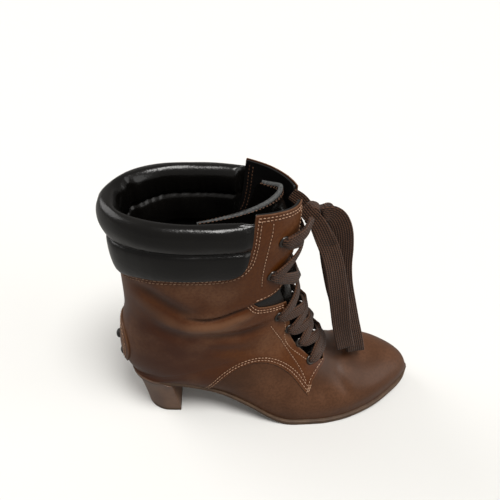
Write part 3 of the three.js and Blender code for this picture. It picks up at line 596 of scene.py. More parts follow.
shaftTop = float(soleTop(0.504 * bootLength)) + instepHeight + shaftRise
stationNames = ["back", "rise", "front", "foot", "leg", "outer", "inner", "edgeOuter", "edgeInner",
                "ridge", "widest", "crown"]
station = tableCurves(
    stationNames, [
        [0.006, 1.000, 0.504, 1, 1.010, 0.475, 0.490, 0.024, 0.024, -0.024, 0.45, 2.30],
        [0.014, 0.867, 0.508, 1, 0.889, 0.475, 0.485, 0.024, 0.024, -0.024, 0.45, 2.30],
        [0.024, 0.717, 0.512, 1, 0.768, 0.460, 0.470, 0.024, 0.024, -0.012, 0.44, 2.30],
        [0.034, 0.566, 0.506, 1, 0.648, 0.437, 0.440, 0.024, 0.024, 0.000, 0.42, 2.30],
        [0.036, 0.416, 0.512, 1, 0.527, 0.412, 0.412, 0.024, 0.024, 0.000, 0.40, 2.20],
        [0.024, 0.295, 0.528, 1, 0.426, 0.400, 0.395, 0.024, 0.024, 0.010, 0.37, 2.10],
        [0.015, 0.175, 0.548, 1, 0.335, 0.390, 0.385, 0.024, 0.024, 0.015, 0.34, 2.00],
        [0.017, 0.084, 0.564, 1, 0.268, 0.380, 0.378, 0.024, 0.024, 0.020, 0.33, 2.00],
        [0.040, 0.000, 0.578, 1, 0.211, 0.370, 0.370, 0.024, 0.024, 0.024, 0.33, 1.95],
        [0.045, 0.000, 0.581, 1, 0.198, 0.368, 0.368, 0.115, 0.115, 0.024, 0.33, 1.95],
        [0.057, 0.000, 0.586, 1, 0.181, 0.367, 0.367, 0.190, 0.190, 0.025, 0.32, 1.95],
        [0.080, 0.000, 0.594, 1, 0.158, 0.366, 0.366, 0.262, 0.262, 0.027, 0.31, 1.95],
        [0.126, 0.000, 0.606, 1, 0.121, 0.366, 0.366, 0.322, 0.322, 0.030, 0.30, 1.95],
        [0.208, 0.000, 0.620, 1, 0.077, 0.368, 0.366, 0.335, 0.335, 0.035, 0.29, 1.95],
        [0.304, 0.000, 0.634, 1, 0.040, 0.375, 0.357, 0.312, 0.302, 0.040, 0.28, 1.90],
        [0.400, 0.000, 0.650, 1, 0.000, 0.412, 0.360, 0.366, 0.318, 0.047, 0.25, 1.90],
        [0.488, 0.000, 0.672, 0.927, 0, 0.458, 0.405, 0.435, 0.380, 0.050, 0.22, 2.00],
        [0.568, 0.000, 0.700, 0.855, 0, 0.478, 0.475, 0.466, 0.458, 0.060, 0.22, 2.00],
        [0.640, 0.000, 0.732, 0.805, 0, 0.475, 0.515, 0.464, 0.502, 0.065, 0.25, 2.00],
        [0.712, 0.000, 0.772, 0.730, 0, 0.450, 0.530, 0.438, 0.516, 0.070, 0.28, 2.05],
        [0.784, 0.000, 0.816, 0.660, 0, 0.388, 0.515, 0.375, 0.500, 0.085, 0.30, 2.10],
        [0.846, 0.000, 0.856, 0.600, 0, 0.303, 0.463, 0.290, 0.450, 0.100, 0.32, 2.10],
        [0.898, 0.000, 0.900, 0.500, 0, 0.198, 0.388, 0.186, 0.376, 0.105, 0.34, 2.10],
        [0.939, 0.000, 0.939, 0.385, 0, 0.100, 0.310, 0.090, 0.298, 0.105, 0.36, 2.10],
        [0.968, 0.000, 0.968, 0.255, 0, 0.008, 0.232, -0.004, 0.222, 0.105, 0.38, 2.00],
        [0.985, 0.000, 0.985, 0.075, 0, -0.068, 0.140, -0.074, 0.136, 0.105, 0.40, 2.00],
    ])


def backEnd(t):
    x = bootLength * station["back"](t)
    return x, soleTop(x) + clearance + backRise * station["rise"](t)


def frontEnd(t):
    x = bootLength * station["front"](t)
    return x, soleTop(x) + instepHeight * station["foot"](t) + shaftRise * station["leg"](t)


# Points of the boot's surface, arrays in and out: station t, side -1 outer or 1 inner,
# turn from 0 at the back or sole to half a turn at the front
def surface(t, side, turn):
    t, turn = np.broadcast_arrays(np.asarray(t, float), np.asarray(turn, float))
    bx, bz = backEnd(t)
    fx, fz = frontEnd(t)
    wide = ballWidth * station["outer" if side < 0 else "inner"](t)
    widest = station["widest"](t)
    keel = side * ballWidth * (station["edgeInner"](t) - station["edgeOuter"](t)) / 2
    edge = ballWidth * (station["edgeInner"](t) + station["edgeOuter"](t)) / 2
    reach = np.maximum(wide - keel, thinnest)
    start = np.arcsin(np.clip(edge / reach, 0, 0.995) ** (heelRound / 2))
    angle = start + (math.pi / 2 - start) * np.minimum(turn / (math.pi / 2), 1)
    lowShare = widest * (1 - np.maximum(np.cos(angle) / np.cos(start), 0) ** (2 / heelRound))
    lowY = keel + reach * np.sin(angle) ** (2 / heelRound)
    power = station["crown"](t)
    ridge = ballWidth * station["ridge"](t) * side
    highShare = widest + (1 - widest) * np.abs(np.cos(turn)) ** (2 / power)
    highY = ridge + np.maximum(wide - ridge, thinnest) * np.abs(np.sin(turn)) ** (2 / power)
    low = turn < math.pi / 2
    share = np.where(low, lowShare, highShare)
    y = np.where(low, lowY, highY)
    return np.stack([bx + (fx - bx) * share, side * y, bz + (fz - bz) * share], -1)


def surfaceNormal(t, side, turn):
    step = 0.01
    along = surface(t + step, side, turn) - surface(t - step, side, turn)
    round_ = surface(t, side, turn + step) - surface(t, side, turn - step)
    n = -side * np.cross(along, round_)
    return n / np.linalg.norm(n, axis=-1, keepdims=True)


def evenSteps(low, high, step, sample):
    fine = np.linspace(low, high, 1600)
    points = sample(fine)
    gap = np.linalg.norm(np.diff(points, axis=0), axis=-1).max(axis=1)
    total = np.r_[0, np.cumsum(gap)]
    count = int(math.ceil(total[-1] / step))
    return np.interp(np.linspace(0, total[-1], count + 1), total, fine)


# Side-view and front-view lines
def sideView(rows):
    return [(x * bootLength, z * shaftTop) for x, z in rows]


def splineLine(points, count):
    p = np.asarray(points, float)
    found = []
    for t in np.linspace(0, len(p) - 1, count + 1):
        k = min(int(t), len(p) - 2)
        found.append(tuple(between(p[max(k - 1, 0)], p[k], p[k + 1], p[min(k + 2, len(p) - 1)], t - k)))
    return found


collarLine = splineLine(sideView([
    (-0.08, 0.705), (0.03, 0.712), (0.095, 0.742), (0.18, 0.758), (0.275, 0.76), (0.33, 0.768),
    (0.36, 0.80), (0.371, 0.86), (0.374, 0.93), (0.376, 0.982)]), 26)
eyestayTop = sideView([(0.376, 0.982), (0.44, 0.974), (0.5, 0.962), (0.56, 0.95)])
aboveCollar = collarLine + eyestayTop + sideView([(0.56, 1.3), (-0.08, 1.3)])
notchUpper = splineLine(sideView([
    (0.56, 0.73), (0.495, 0.70), (0.478, 0.66), (0.455, 0.635), (0.42, 0.622), (0.392, 0.617)]), 12)
notchLower = splineLine(sideView([
    (0.392, 0.617), (0.412, 0.588), (0.455, 0.573), (0.51, 0.561), (0.60, 0.53)]), 8)
notchOutline = notchUpper + notchLower[1:] + sideView([(0.66, 0.62)])
arcLine = splineLine(sideView([
    (0.262, 0.12), (0.29, 0.185), (0.325, 0.25), (0.37, 0.295), (0.42, 0.31), (0.475, 0.292), (0.53, 0.24),
    (0.592, 0.155)]), 18)
quarterFront = sideView([(0.592, 0.155), (0.604, 0.205), (0.625, 0.232), (0.648, 0.248)])
quarterOutline = (sideView([(-0.1, 0.0), (0.262, 0.0)]) + arcLine + quarterFront[1:]
                  + sideView([(0.65, 0.4), (0.8, 0.5), (0.8, 1.3), (-0.1, 1.3)]))
throatRows = [  # height, outer edge and inner edge
    (0.235, -0.15, 0.17), (0.265, -0.19, 0.21), (0.35, -0.19, 0.20), (0.46, -0.175, 0.185),
    (0.56, -0.18, 0.18), (0.63, -0.225, 0.20), (0.68, -0.205, 0.18), (0.75, -0.18, 0.155),
    (0.83, -0.155, 0.13), (0.92, -0.115, 0.09), (1.10, -0.09, 0.065),
]
throatFront = ([(o * ballWidth, z * shaftTop) for z, o, _ in throatRows]
               + [(i * ballWidth, z * shaftTop) for z, _, i in reversed(throatRows)])
throatSide = sideView([(0.36, 1.1), (0.36, 0.66), (0.48, 0.38), (0.60, 0.2), (0.642, 0.225), (0.65, 0.31),
                       (0.8, 0.57), (0.8, 1.1)])


def lineDistance(u, v, line, closed=False):
    p = np.asarray(line, float)
    q = np.roll(p, -1, 0) if closed else p[1:]
    p = p if closed else p[:-1]
    best = np.full(np.shape(u), np.inf)
    for a, b in zip(p, q):
        d = b - a
        s = np.clip(((u - a[0]) * d[0] + (v - a[1]) * d[1]) / max(d @ d, 1e-9), 0, 1)
        best = np.minimum(best, np.hypot(u - a[0] - s * d[0], v - a[1] - s * d[1]))
    return best


# Distance inside an outline, negative outside
def inside(u, v, outline):
    p = np.asarray(outline, float)
    odd = np.zeros(np.shape(u), bool)
    for a, b in zip(p, np.roll(p, -1, 0)):
        if a[1] == b[1]:
            continue
        cross = (a[1] > v) != (b[1] > v)
        odd ^= cross & (u < a[0] + (v - a[1]) * (b[0] - a[0]) / (b[1] - a[1]))
    return lineDistance(u, v, outline, True) * np.where(odd, 1, -1)


def openThroat(p):
    front = inside(p[:, 1], p[:, 2], throatFront)
    return np.minimum(front, inside(p[:, 0], p[:, 2], throatSide))


# How far a point lies inside each panel, negative outside it
def quarterField(p):
    field = np.minimum(inside(p[:, 0], p[:, 2], quarterOutline), -inside(p[:, 0], p[:, 2], aboveCollar))
    return np.minimum(np.minimum(field, -inside(p[:, 0], p[:, 2], notchOutline)), -openThroat(p))


def vampField(p):
    return np.minimum(leather["vampUnder"] - inside(p[:, 0], p[:, 2], quarterOutline), -openThroat(p))


def liningField(p):
    field = np.minimum(-inside(p[:, 0], p[:, 2], aboveCollar), -openThroat(p))
    return field - leather["liningInset"]


# Creases worn into the leather: side-view lines with depth, half width and the ridge beside them.
# below is the ridge's share on the lower side and above on the upper side.
creases = [
    {"line": [(104, 130), (98, 127.2), (92.6, 125.2), (85.8, 123.4), (79.8, 121.0), (73.7, 119.2),
              (66, 118.4), (57, 119.5), (48, 122)],
     "deep": 1.9, "wide": 1.7, "below": 1.9, "belowAt": 7.5,
     "above": 0.5, "aboveAt": 5, "spread": 5.0, "fade": 20},
    {"line": [(122, 102), (108.3, 101.4), (95.8, 99.3), (83.5, 98.8), (70, 100.2), (57, 104)],
     "deep": 1.3, "wide": 4.6, "below": 0.2, "belowAt": 9,
     "above": 0.7, "aboveAt": 8, "spread": 5.0, "fade": 22},
    {"line": [(12, 148), (27, 144.6), (36.5, 138.4), (47.2, 130.5), (57.6, 122.5), (66, 118.4)],
     "deep": 1.3, "wide": 5.2, "below": 0.7, "belowAt": 12,
     "above": 0.5, "aboveAt": 10, "spread": 7.0, "fade": 20},
    {"line": [(24, 116), (38, 108), (52, 102), (66, 96.5)],
     "deep": 0.8, "wide": 5.0, "below": 0.1, "belowAt": 10,
     "above": 0.5, "aboveAt": 9, "spread": 6.0, "fade": 16},
    {"line": [(62, 90), (80, 84), (98, 80), (112, 82)],
     "deep": 0.45, "wide": 5.0, "below": 0.2, "belowAt": 9,
     "above": 0.2, "aboveAt": 9, "spread": 6.0, "fade": 16},
    {"line": [(166, 48), (173, 42), (180, 34), (184, 27)],
     "deep": 0.6, "wide": 3.0, "below": 0.25, "belowAt": 6,
     "above": 0.25, "aboveAt": 6, "spread": 3.5, "fade": 10},
    {"line": [(156, 38), (163, 30), (167, 22)],
     "deep": 0.5, "wide": 3.2, "below": 0.2, "belowAt": 6,
     "above": 0.2, "aboveAt": 6, "spread": 3.5, "fade": 9},
]


def creaseShift(p, side):
    shift = np.zeros(len(p))
    fold = np.zeros(len(p))
    share = np.clip(p[:, 1] * side / 12 + 0.35, 0, 1) * (1.0 if side < 0 else 0.8)
    for crease in creases:
        line, _ = smoothPath(crease["line"], 1.5)
        u, v = p[:, 0], p[:, 2]
        gap = np.full(len(p), np.inf)
        above = np.zeros(len(p))
        along = np.zeros(len(p))
        passed = 0.0
        flip = 1 if line[-1][0] > line[0][0] else -1
        for a, b in zip(line[:-1], line[1:]):
            d = b - a
            size = np.hypot(*d)
            s = np.clip(((u - a[0]) * d[0] + (v - a[1]) * d[1]) / (d @ d), 0, 1)
            away = np.hypot(u - a[0] - s * d[0], v - a[1] - s * d[1])
            near = away < gap
            gap = np.where(near, away, gap)
            above = np.where(near, (d[0] * (v - a[1]) - d[1] * (u - a[0])) * flip > 0, above)
            along = np.where(near, passed + s * size, along)
            passed += size
        ends = ease(np.clip(np.minimum(along, passed - along) / crease["fade"], 0.0, 1))
        trough = crease["deep"] * np.exp(-(gap / crease["wide"]) ** 2)
        upper = crease["above"] * np.exp(-((gap - crease["aboveAt"]) / crease["spread"]) ** 2)
        lower = crease["below"] * np.exp(-((gap - crease["belowAt"]) / crease["spread"]) ** 2)
        ridge = np.where(above > 0, upper, lower) * np.clip(gap / (1.5 * crease["wide"]), 0, 1)
        shift += share * ends * (ridge - trough)
        # fold: plus on ridges, minus in troughs; the brown leathers paint it as highlight on ridges and
        # shade in troughs
        fold += share * ends * (ridge * 0.55 - trough * 0.55)
    return shift, fold


# Thicknesses and places of the upper's sheets, as depths below the skin
leather = {
    "step": 1.3,
    "liningStep": 1.75,
    "smoothings": 8,
    "quarter": (0.0, 0.95),
    "vamp": (quarterStep, 2.0),
    "lining": (1.3, shoeWall),
    "liningBulge": 0.9,  # where the lining shows in the notches
    "roundedEdge": 0.22,
    "vampUnder": 6,  # how far the vamp runs on under the quarters
    "liningInset": 0.45,
}
toeEnd = {"rings": 4, "length": 1.3}
farFromSeam = 50.0


# The boot's skin: one grid from the collar to the toe. Each row runs from the front ridge down the
# outer side, round the back or the sole, and up the inner side to the front ridge.
def makeSkin(step):
    probes = np.array([0, 0.5, 1.0, 1.57, 2.2, 2.7, math.pi])
    ts = evenSteps(0, lastStation, step, lambda f: np.concatenate(
        [surface(f[:, None], side, probes[None]) for side in (-1, 1)], 1))
    at = np.array([0, 3, 6, 9, 13, 16, 19, 22.0])
    turns = evenSteps(0, math.pi, step, lambda f: np.concatenate(
        [surface(at[None], side, f[:, None]) for side in (-1, 1)], 1))
    outer = surface(ts[:, None], -1, turns[None, ::-1])
    inner = surface(ts[:, None], 1, turns[None, :])
    n = len(turns)
    grid = np.concatenate([outer, inner[:, :-1]], 1)
    shaft = ts <= seatStation
    feather = np.zeros(grid.shape[:2], bool)  # the edge over the sole stays sharp
    feather[:, n - 1] = ~shaft
    feather[:, n] = ~shaft
    for _ in range(leather["smoothings"]):
        smooth = grid.copy()
        smooth[1:-1] = 0.25 * grid[:-2] + 0.5 * grid[1:-1] + 0.25 * grid[2:]
        smooth[:, n - 1][~shaft] = grid[:, n - 1][~shaft] * 0.5 + smooth[:, n - 1][~shaft] * 0.5
        grid = smooth
        around = 0.25 * np.roll(grid, 1, 1) + 0.5 * grid + 0.25 * np.roll(grid, -1, 1)
        grid = np.where(feather[..., None], grid, around)
    # rounded end of the toe
    middle = grid[-1].mean(0)
    extra = []
    for k in range(1, toeEnd["rings"] + 1):
        a = k / toeEnd["rings"] * math.pi / 2
        ring = middle + (grid[-1] - middle) * max(math.cos(a), 0.02)
        ring[:, 0] += toeEnd["length"] * math.sin(a)
        extra.append(ring)
    grid = np.concatenate([grid, np.array(extra)], 0)
    m, c = grid.shape[:2]
    along = np.gradient(grid, axis=0)
    left = np.gradient(grid[:, :n], axis=1)
    right = np.gradient(np.concatenate([grid[:, n:], grid[:, :1]], 1), axis=1)
    around = np.concatenate([left, right[:, :-1]], 1)
    around[:, 0] = (left[:, 0] + right[:, -1]) / 2
    across = np.roll(grid, -1, 1) - np.roll(grid, 1, 1)
    back = np.append(shaft, np.zeros(toeEnd["rings"], bool))
    for column in (n - 1, n):
        around[back, column] = across[back, column]
    normal = np.cross(around, along)
    normal /= np.maximum(np.linalg.norm(normal, axis=-1, keepdims=True), 1e-9)
    out = ((grid - grid.mean(1, keepdims=True)) * normal).sum(-1).mean()
    if out < 0:
        normal = -normal
    flat = grid.reshape(-1, 3)
    bend = np.zeros(len(flat))
    fold = np.zeros(len(flat))
    for side in (-1, 1):
        mask = flat[:, 1] * side > 0
        bend[mask], fold[mask] = creaseShift(flat[mask], side)
    quads = []
    for i in range(m - 1):
        for j in range(c):
            k = (j + 1) % c
            if j == n - 1 and not (back[i] and back[i + 1]):
                continue
            quads.append((i * c + j, i * c + k, (i + 1) * c + k, (i + 1) * c + j))
    place = flat + normal.reshape(-1, 3) * bend[:, None]
    return {"base": flat, "place": place, "normal": normal.reshape(-1, 3), "fold": fold, "quads": quads}


# Cuts the skin where a field is above nought; new corners lie on the line where it is nought
def cutSkin(skin, field, level=0.0):
    values = field(skin["base"]) - level
    columns = np.column_stack([skin["base"], skin["place"], skin["normal"], skin["fold"]])
    used, rows, edges, faces = {}, [], {}, []

    def corner(i):
        if i not in used:
            used[i] = len(rows)
            rows.append(columns[i])
        return used[i]

    def crossing(i, j):
        key = (min(i, j), max(i, j))
        if key not in edges:
            a, b = key
            s = values[a] / (values[a] - values[b])
            edges[key] = len(rows)
            rows.append(columns[a] * (1 - s) + columns[b] * s)
        return edges[key]

    for quad in skin["quads"]:
        signs = [values[i] > 0 for i in quad]
        if not any(signs):
            continue
        if all(signs):
            faces.append(tuple(corner(i) for i in quad))
            continue
        made = []
        for k in range(4):
            i, j = quad[k], quad[(k + 1) % 4]
            if signs[k]:
                made.append(corner(i))
            if signs[k] != signs[(k + 1) % 4]:
                made.append(crossing(i, j))
        if len(made) > 2:
            faces.append(tuple(made))
    rows = np.array(rows)
    return rows[:, :3], rows[:, 3:6], rows[:, 6:9], rows[:, 9], faces


# A sheet of leather between two depths below the skin, with its cut edges rounded. It gives the
# points, the faces, the shader's fields, and where each point lay on the skin.
def sheet(skin, field, outer, inner, level=0.0, lift=None):
    base, place, normal, fold, faces = cutSkin(skin, field, level)
    normal = normal / np.linalg.norm(normal, axis=1)[:, None]
    border = {}
    for face in faces:
        for a, b in zip(face, face[1:] + face[:1]):
            if (b, a) in border:
                del border[(b, a)]
            else:
                border[(a, b)] = True
    rim = sorted({v for pair in border for v in pair})
    onRim = np.zeros(len(base), bool)
    onRim[rim] = True
    raised = lift(base) if lift else 0.0
    depth = np.where(onRim, outer + leather["roundedEdge"], outer) - raised
    top = place - normal * np.asarray(depth)[:, None]
    low = place - normal * inner
    count = len(base)
    sideOf = {v: 2 * count + k for k, v in enumerate(rim)}
    side = place[rim] - normal[rim] * ((outer + inner) * 0.5)
    points = np.vstack([top, low, side])
    made = list(faces) + [tuple(v + count for v in reversed(face)) for face in faces]
    for a, b in border:
        made.append((b, a, sideOf[a], sideOf[b]))
        made.append((sideOf[b], sideOf[a], a + count, b + count))
    gap = np.maximum(field(base) - level, 0)
    distance = np.concatenate([gap, gap, np.zeros(len(rim))])
    folds = np.concatenate([fold, fold, fold[rim]])
    bases = np.vstack([base, base, base[rim]])
    return points, made, {"edge": distance, "fold": folds}, bases


def seamField(bases, lines):
    best = np.full(len(bases), farFromSeam)
    for line in lines:
        best = np.minimum(best, lineDistance(bases[:, 0], bases[:, 2], line))
    return best


skin = makeSkin(leather["step"])
print("stage: skin", len(skin["base"]))


def offsetLine(line, away):
    p = smoothPath(line, 1.5)[0]
    run = directions(p)
    return p + np.stack([-run[:, 1], run[:, 0]], 1) * away


stitch = {"pitch": 2.7, "length": 1.95, "radius": 0.36, "sunk": 0.12,
          "inset": 2.0, "secondInset": 4.2, "collarInset": 4.0}
belowCollar = [(x, z) for x, z in collarLine if x > -12]
rearStay = [(x, z) for x, z in collarLine if z > 0.79 * shaftTop]
stayRow = [(105.2, 199), (105.2, 192), (104.1, 182), (103.0, 171), (102.2, 158), (102.6, 144)]
straightRow = [(113.5, 100), (121, 86.5), (128.9, 72.2), (140.7, 53.2), (146.5, 42.5)]
seams = {
    "collar_first": offsetLine(belowCollar, -stitch["inset"]),
    "collar_second": offsetLine(belowCollar, -stitch["collarInset"]),
    "stay_top_first": offsetLine(eyestayTop, -stitch["inset"]),
    "stay_top_second": offsetLine(eyestayTop, -stitch["secondInset"]),
    "stay_single": smoothPath(stayRow, 1.5)[0],
    "notch_upper": offsetLine(notchUpper[1:], -stitch["inset"]),
    "notch_lower_first": offsetLine(notchLower, -stitch["inset"]),
    "notch_lower_second": offsetLine(notchLower, -stitch["secondInset"]),
    "arc_first": offsetLine(arcLine[2:], stitch["inset"]),
    "arc_second": offsetLine(arcLine[2:], stitch["secondInset"]),
    "straight": smoothPath(straightRow, 1.5)[0],
    "quarter_front": offsetLine(quarterFront, stitch["inset"]),
}


def treeOf(points, faces):
    return BVHTree.FromPolygons([Vector(p) for p in points], [tuple(f) for f in faces])


def makeUpper():
    points, faces, fields, bases = sheet(skin, quarterField, *leather["quarter"])
    fields["seam"] = seamField(bases, list(seams.values()))
    quarter = makePiece("upper_quarters", points, faces, "quarter", ["upper"], fields,
                        sharp=50)
    points, faces, fields, bases = sheet(skin, vampField, *leather["vamp"])
    fields["seam"] = np.full(len(points), farFromSeam)
    makePiece("upper_vamp", points, faces, "vamp", ["upper"], fields, sharp=50)

    def bulge(base):
        notch = inside(base[:, 0], base[:, 2], notchOutline)
        return leather["liningBulge"] * np.clip((notch + 1) / 5, 0, 1)
    liningSkin = makeSkin(leather["liningStep"])
    points, faces, fields, bases = sheet(liningSkin, liningField, *leather["lining"], lift=bulge)
    makePiece("upper_lining", points, faces, "lining", ["upper"], fields, sharp=50)
    return quarter, treeOf(points, faces)


quarterPiece, liningTree = makeUpper()
print("stage: upper")


quarterPoints = np.array([v.co for v in quarterPiece.data.vertices]) / mm + [originShift, 0, 0]
outerTree = treeOf(quarterPoints, [tuple(p.vertices) for p in quarterPiece.data.polygons])


# Stitches: small capsules along a line thrown onto the leather
def capsule():
    rings, sides = [(-0.5, 0.25), (-0.36, 0.85), (0.0, 1.0), (0.36, 0.85), (0.5, 0.25)], 6
    points = [(x, r * math.cos(a), r * math.sin(a)) for x, r in rings
              for a in np.linspace(0, 2 * math.pi, sides, endpoint=False)]
    return np.array(points), loftFaces(len(rings), sides)


stitchForm, stitchFaces = capsule()


def alongLine(at, length, columns):
    return np.array([np.interp(at, length, columns[:, k]) for k in range(3)])


def stitchRow(places, normals, pitch=stitch["pitch"], length=stitch["length"], radius=stitch["radius"]):
    gap = travelled(places)
    parts = []
    for at in np.arange(pitch / 2, gap[-1] - pitch / 2, pitch):
        a = alongLine(at - 0.5 * length, gap, places)
        b = alongLine(at + 0.5 * length, gap, places)
        n = alongLine(at, gap, normals)
        run = b - a
        if np.linalg.norm(run) < 0.4 * length or np.linalg.norm(run) > 1.3 * length:
            continue
        run /= np.linalg.norm(run)
        n = n - run * n.dot(run)
        n /= np.linalg.norm(n)
        across = np.cross(n, run)
        turn = random.uniform(-0.09, 0.09)
        c, s = math.cos(turn), math.sin(turn)
        run, across = run * c + across * s, across * c - run * s
        middle = (a + b) / 2 + n * (stitch["sunk"] + random.uniform(-0.05, 0.05))
        p = (middle + np.outer(stitchForm[:, 0] * length * random.uniform(0.9, 1.1), run)
             + np.outer(stitchForm[:, 1] * radius, across) + np.outer(stitchForm[:, 2] * radius, n))
        parts.append((p, stitchFaces, {}))
    return parts


# Throws points onto a tree along a direction, dropping those that miss
def thrown(tree, starts, direction):
    places, normals = [], []
    for start in starts:
        hit, normal, _, _ = tree.ray_cast(Vector(start), Vector(direction))
        if hit is not None:
            places.append(hit)
            normals.append(normal if normal.dot(Vector(direction)) < 0 else -normal)
    return np.array(places).reshape(-1, 3), np.array(normals).reshape(-1, 3)


def seamStitches(line, side):
    starts = [(x, side * 120.0, z) for x, z in line if clearOf(x, z)]
    places, normals = thrown(outerTree, starts, (0, -side, 0))
    if len(places) < 3:
        return []
    right = places[:, 1] * side > 2.5  # not past the ridge, on the other side
    return stitchRow(places[right], normals[right])


# Whether a stitch here is well below the collar and clear of the notches
def clearOf(x, z):
    u, v = np.array([x]), np.array([z])
    return min(-inside(u, v, outline)[0] for outline in (aboveCollar, notchOutline)) > 1.2


def throatStitches(side):
    column = 1 if side < 0 else 2
    edge = [(row[column] * ballWidth, row[0] * shaftTop) for row in throatRows[1:]]
    line = offsetLine(edge, -side * 2.2)
    places, normals = thrown(outerTree, [(260.0, y, z) for y, z in line], (-1, 0, 0))
    keep = np.array([clearOf(p[0], p[2]) for p in places])
    jumps = np.r_[0, np.linalg.norm(np.diff(places, axis=0), axis=1)] > 6
    parts = []
    first = 0
    for k in list(np.nonzero(jumps)[0]) + [len(places)]:
        part = slice(first, k)
        if keep[part].sum() > 3:
            parts += stitchRow(places[part][keep[part]], normals[part][keep[part]])
        first = k
    return parts


def makeStitching():
    parts = []
    for side in (-1, 1):
        for line in seams.values():
            parts += seamStitches(line, side)
    for side in (-1, 1):
        parts += throatStitches(side)
    # inside the inner facing, beside the padded collar's end
    hidden = []
    for away in (-2.2, -4.6):
        line = [p for p in offsetLine(rearStay, away) if p[1] < 0.97 * shaftTop]
        places, normals = thrown(liningTree, [(x, 2.0, z) for x, z in line], (0, 1, 0))
        if len(places) > 3:
            hidden += stitchRow(places, normals, length=1.7, radius=0.3)
    # bar tacks at the quarters' front corners
    for side in (-1, 1):
        for shift in np.linspace(-2.4, 2.4, 5):
            line = [(149.5 + shift, 36.0), (151.5 + shift, 41.5)]
            starts = [(x, side * 120.0, z) for x, z in smoothPath(line, 0.8)[0]]
            places, normals = thrown(outerTree, starts, (0, -side, 0))
            if len(places) > 3:
                parts += stitchRow(places, normals, pitch=2.0, length=1.9)
    points, faces, _ = joined(parts)
    makePiece("upper_stitching", points, faces, "thread", ["upper"])
    points, faces, _ = joined(hidden)
    makePiece("lining_stitching", points, faces, "darkThread", ["upper"])
    print("stitches", len(parts))


makeStitching()
print("stage: stitching")


# Sole, heel and insole
def featherPoint(t, side, margin):
    step = 0.02

    def place(s):
        edge = station["edgeOuter" if side < 0 else "edgeInner"](s)
        return np.stack([bootLength * station["back"](s), side * ballWidth * edge], -1)
    t = np.asarray(t, float)
    run = place(np.minimum(t + step, lastStation)) - place(np.maximum(t - step, seatStation))
    run /= np.linalg.norm(run, axis=-1, keepdims=True)
    here = place(t)
    reach = margin(here[..., 0]) if callable(margin) else margin
    return here + np.stack([-side * run[..., 1] * reach, side * run[..., 0] * reach], -1)


def edgeMargin(x):
    share = np.clip((x / bootLength - 0.2) / 0.3, 0, 1)
    return seatMargin + (soleMargin - seatMargin) * share


def soleSteps(step, first=seatStation):
    return evenSteps(first, lastStation, step, lambda f: np.stack(
        [featherPoint(f, side, 0.0) for side in (-1, 1)], 1))


soleTip = {"length": 6.0, "roundTo": 6.6}


# Cross-sections of a plate as wide as the feather line and a margin, with rounded edges
def plateRings(margin, bottom, top, steps, bevel=0.6):
    rings = []
    shares = np.linspace(0.12, 0.88, 7)
    for p, q in zip(featherPoint(steps, -1, margin), featherPoint(steps, 1, margin)):
        low, high = float(bottom(p[0])), float(top(p[0]))
        farLow, farHigh = float(bottom(q[0])), float(top(q[0]))
        across = q - p
        size = max(np.hypot(*across), 0.01)
        u = across / size
        r = min(bevel, size * 0.3, (high - low) * 0.3)
        arc = [(r * (1 - math.sin(k)), r * (1 - math.cos(k))) for k in (0, 0.5, 1.05, math.pi / 2)]
        lowOuter = [np.array([*(p + u * s), low + h]) for s, h in arc]
        highOuter = [np.array([*(p + u * s), high - h]) for s, h in arc]
        lowInner = [np.array([*(q - u * s), farLow + h]) for s, h in arc]
        highInner = [np.array([*(q - u * s), farHigh - h]) for s, h in arc]
        lows = [np.array([*(p + across * s), low + (farLow - low) * s]) for s in shares]
        highs = [np.array([*(p + across * s), high + (farHigh - high) * s]) for s in shares]
        rings.append(highOuter + lowOuter[::-1] + lows + lowInner + highInner[::-1] + highs[::-1])
    rings = np.array(rings)
    middle = rings[:, :, 1].mean(1)
    reach = rings[:, :, 0].mean(1)
    rounding = np.clip((reach - reach.max() + soleTip["length"]) / soleTip["roundTo"], 0, 1)
    narrow = np.sqrt(1 - rounding ** 2)
    rings[:, :, 1] = middle[:, None] + (rings[:, :, 1] - middle[:, None]) * narrow[:, None]
    return rings


def makeSole():
    rings = plateRings(edgeMargin, soleUnder, lambda x: soleTop(x) + 0.28, soleSteps(2.0))
    points = rings.reshape(-1, 3)
    faces = loftFaces(rings.shape[0], rings.shape[1])
    makePiece("outsole_edge", points, faces, "sole", ["outsole"], sharp=45)
    start = seatStation + 0.6
    inner = plateRings(-(shoeWall + 0.4), lambda x: soleTop(x) + clearance,
                       lambda x: soleTop(x) + clearance + insoleThickness, soleSteps(2.5, start), 0.5)
    makePiece("insole_board_cover", inner.reshape(-1, 3), loftFaces(*inner.shape[:2]), "insole",
              ["insole"], sharp=45)


makeSole()

heel = {
    "breastTop": 0.190,  # shares of the boot's length
    "breastBottom": 0.194,
    "backBottom": 0.084,
    "width": 0.25,  # half width at the floor, a share of ball width
    "curve": 0.64,
    "turn": (7.0, 5.0),
    "turnReach": 14,
    "coverThickness": 0.45,
    "rings": 22,
    "bevel": 0.9,
}


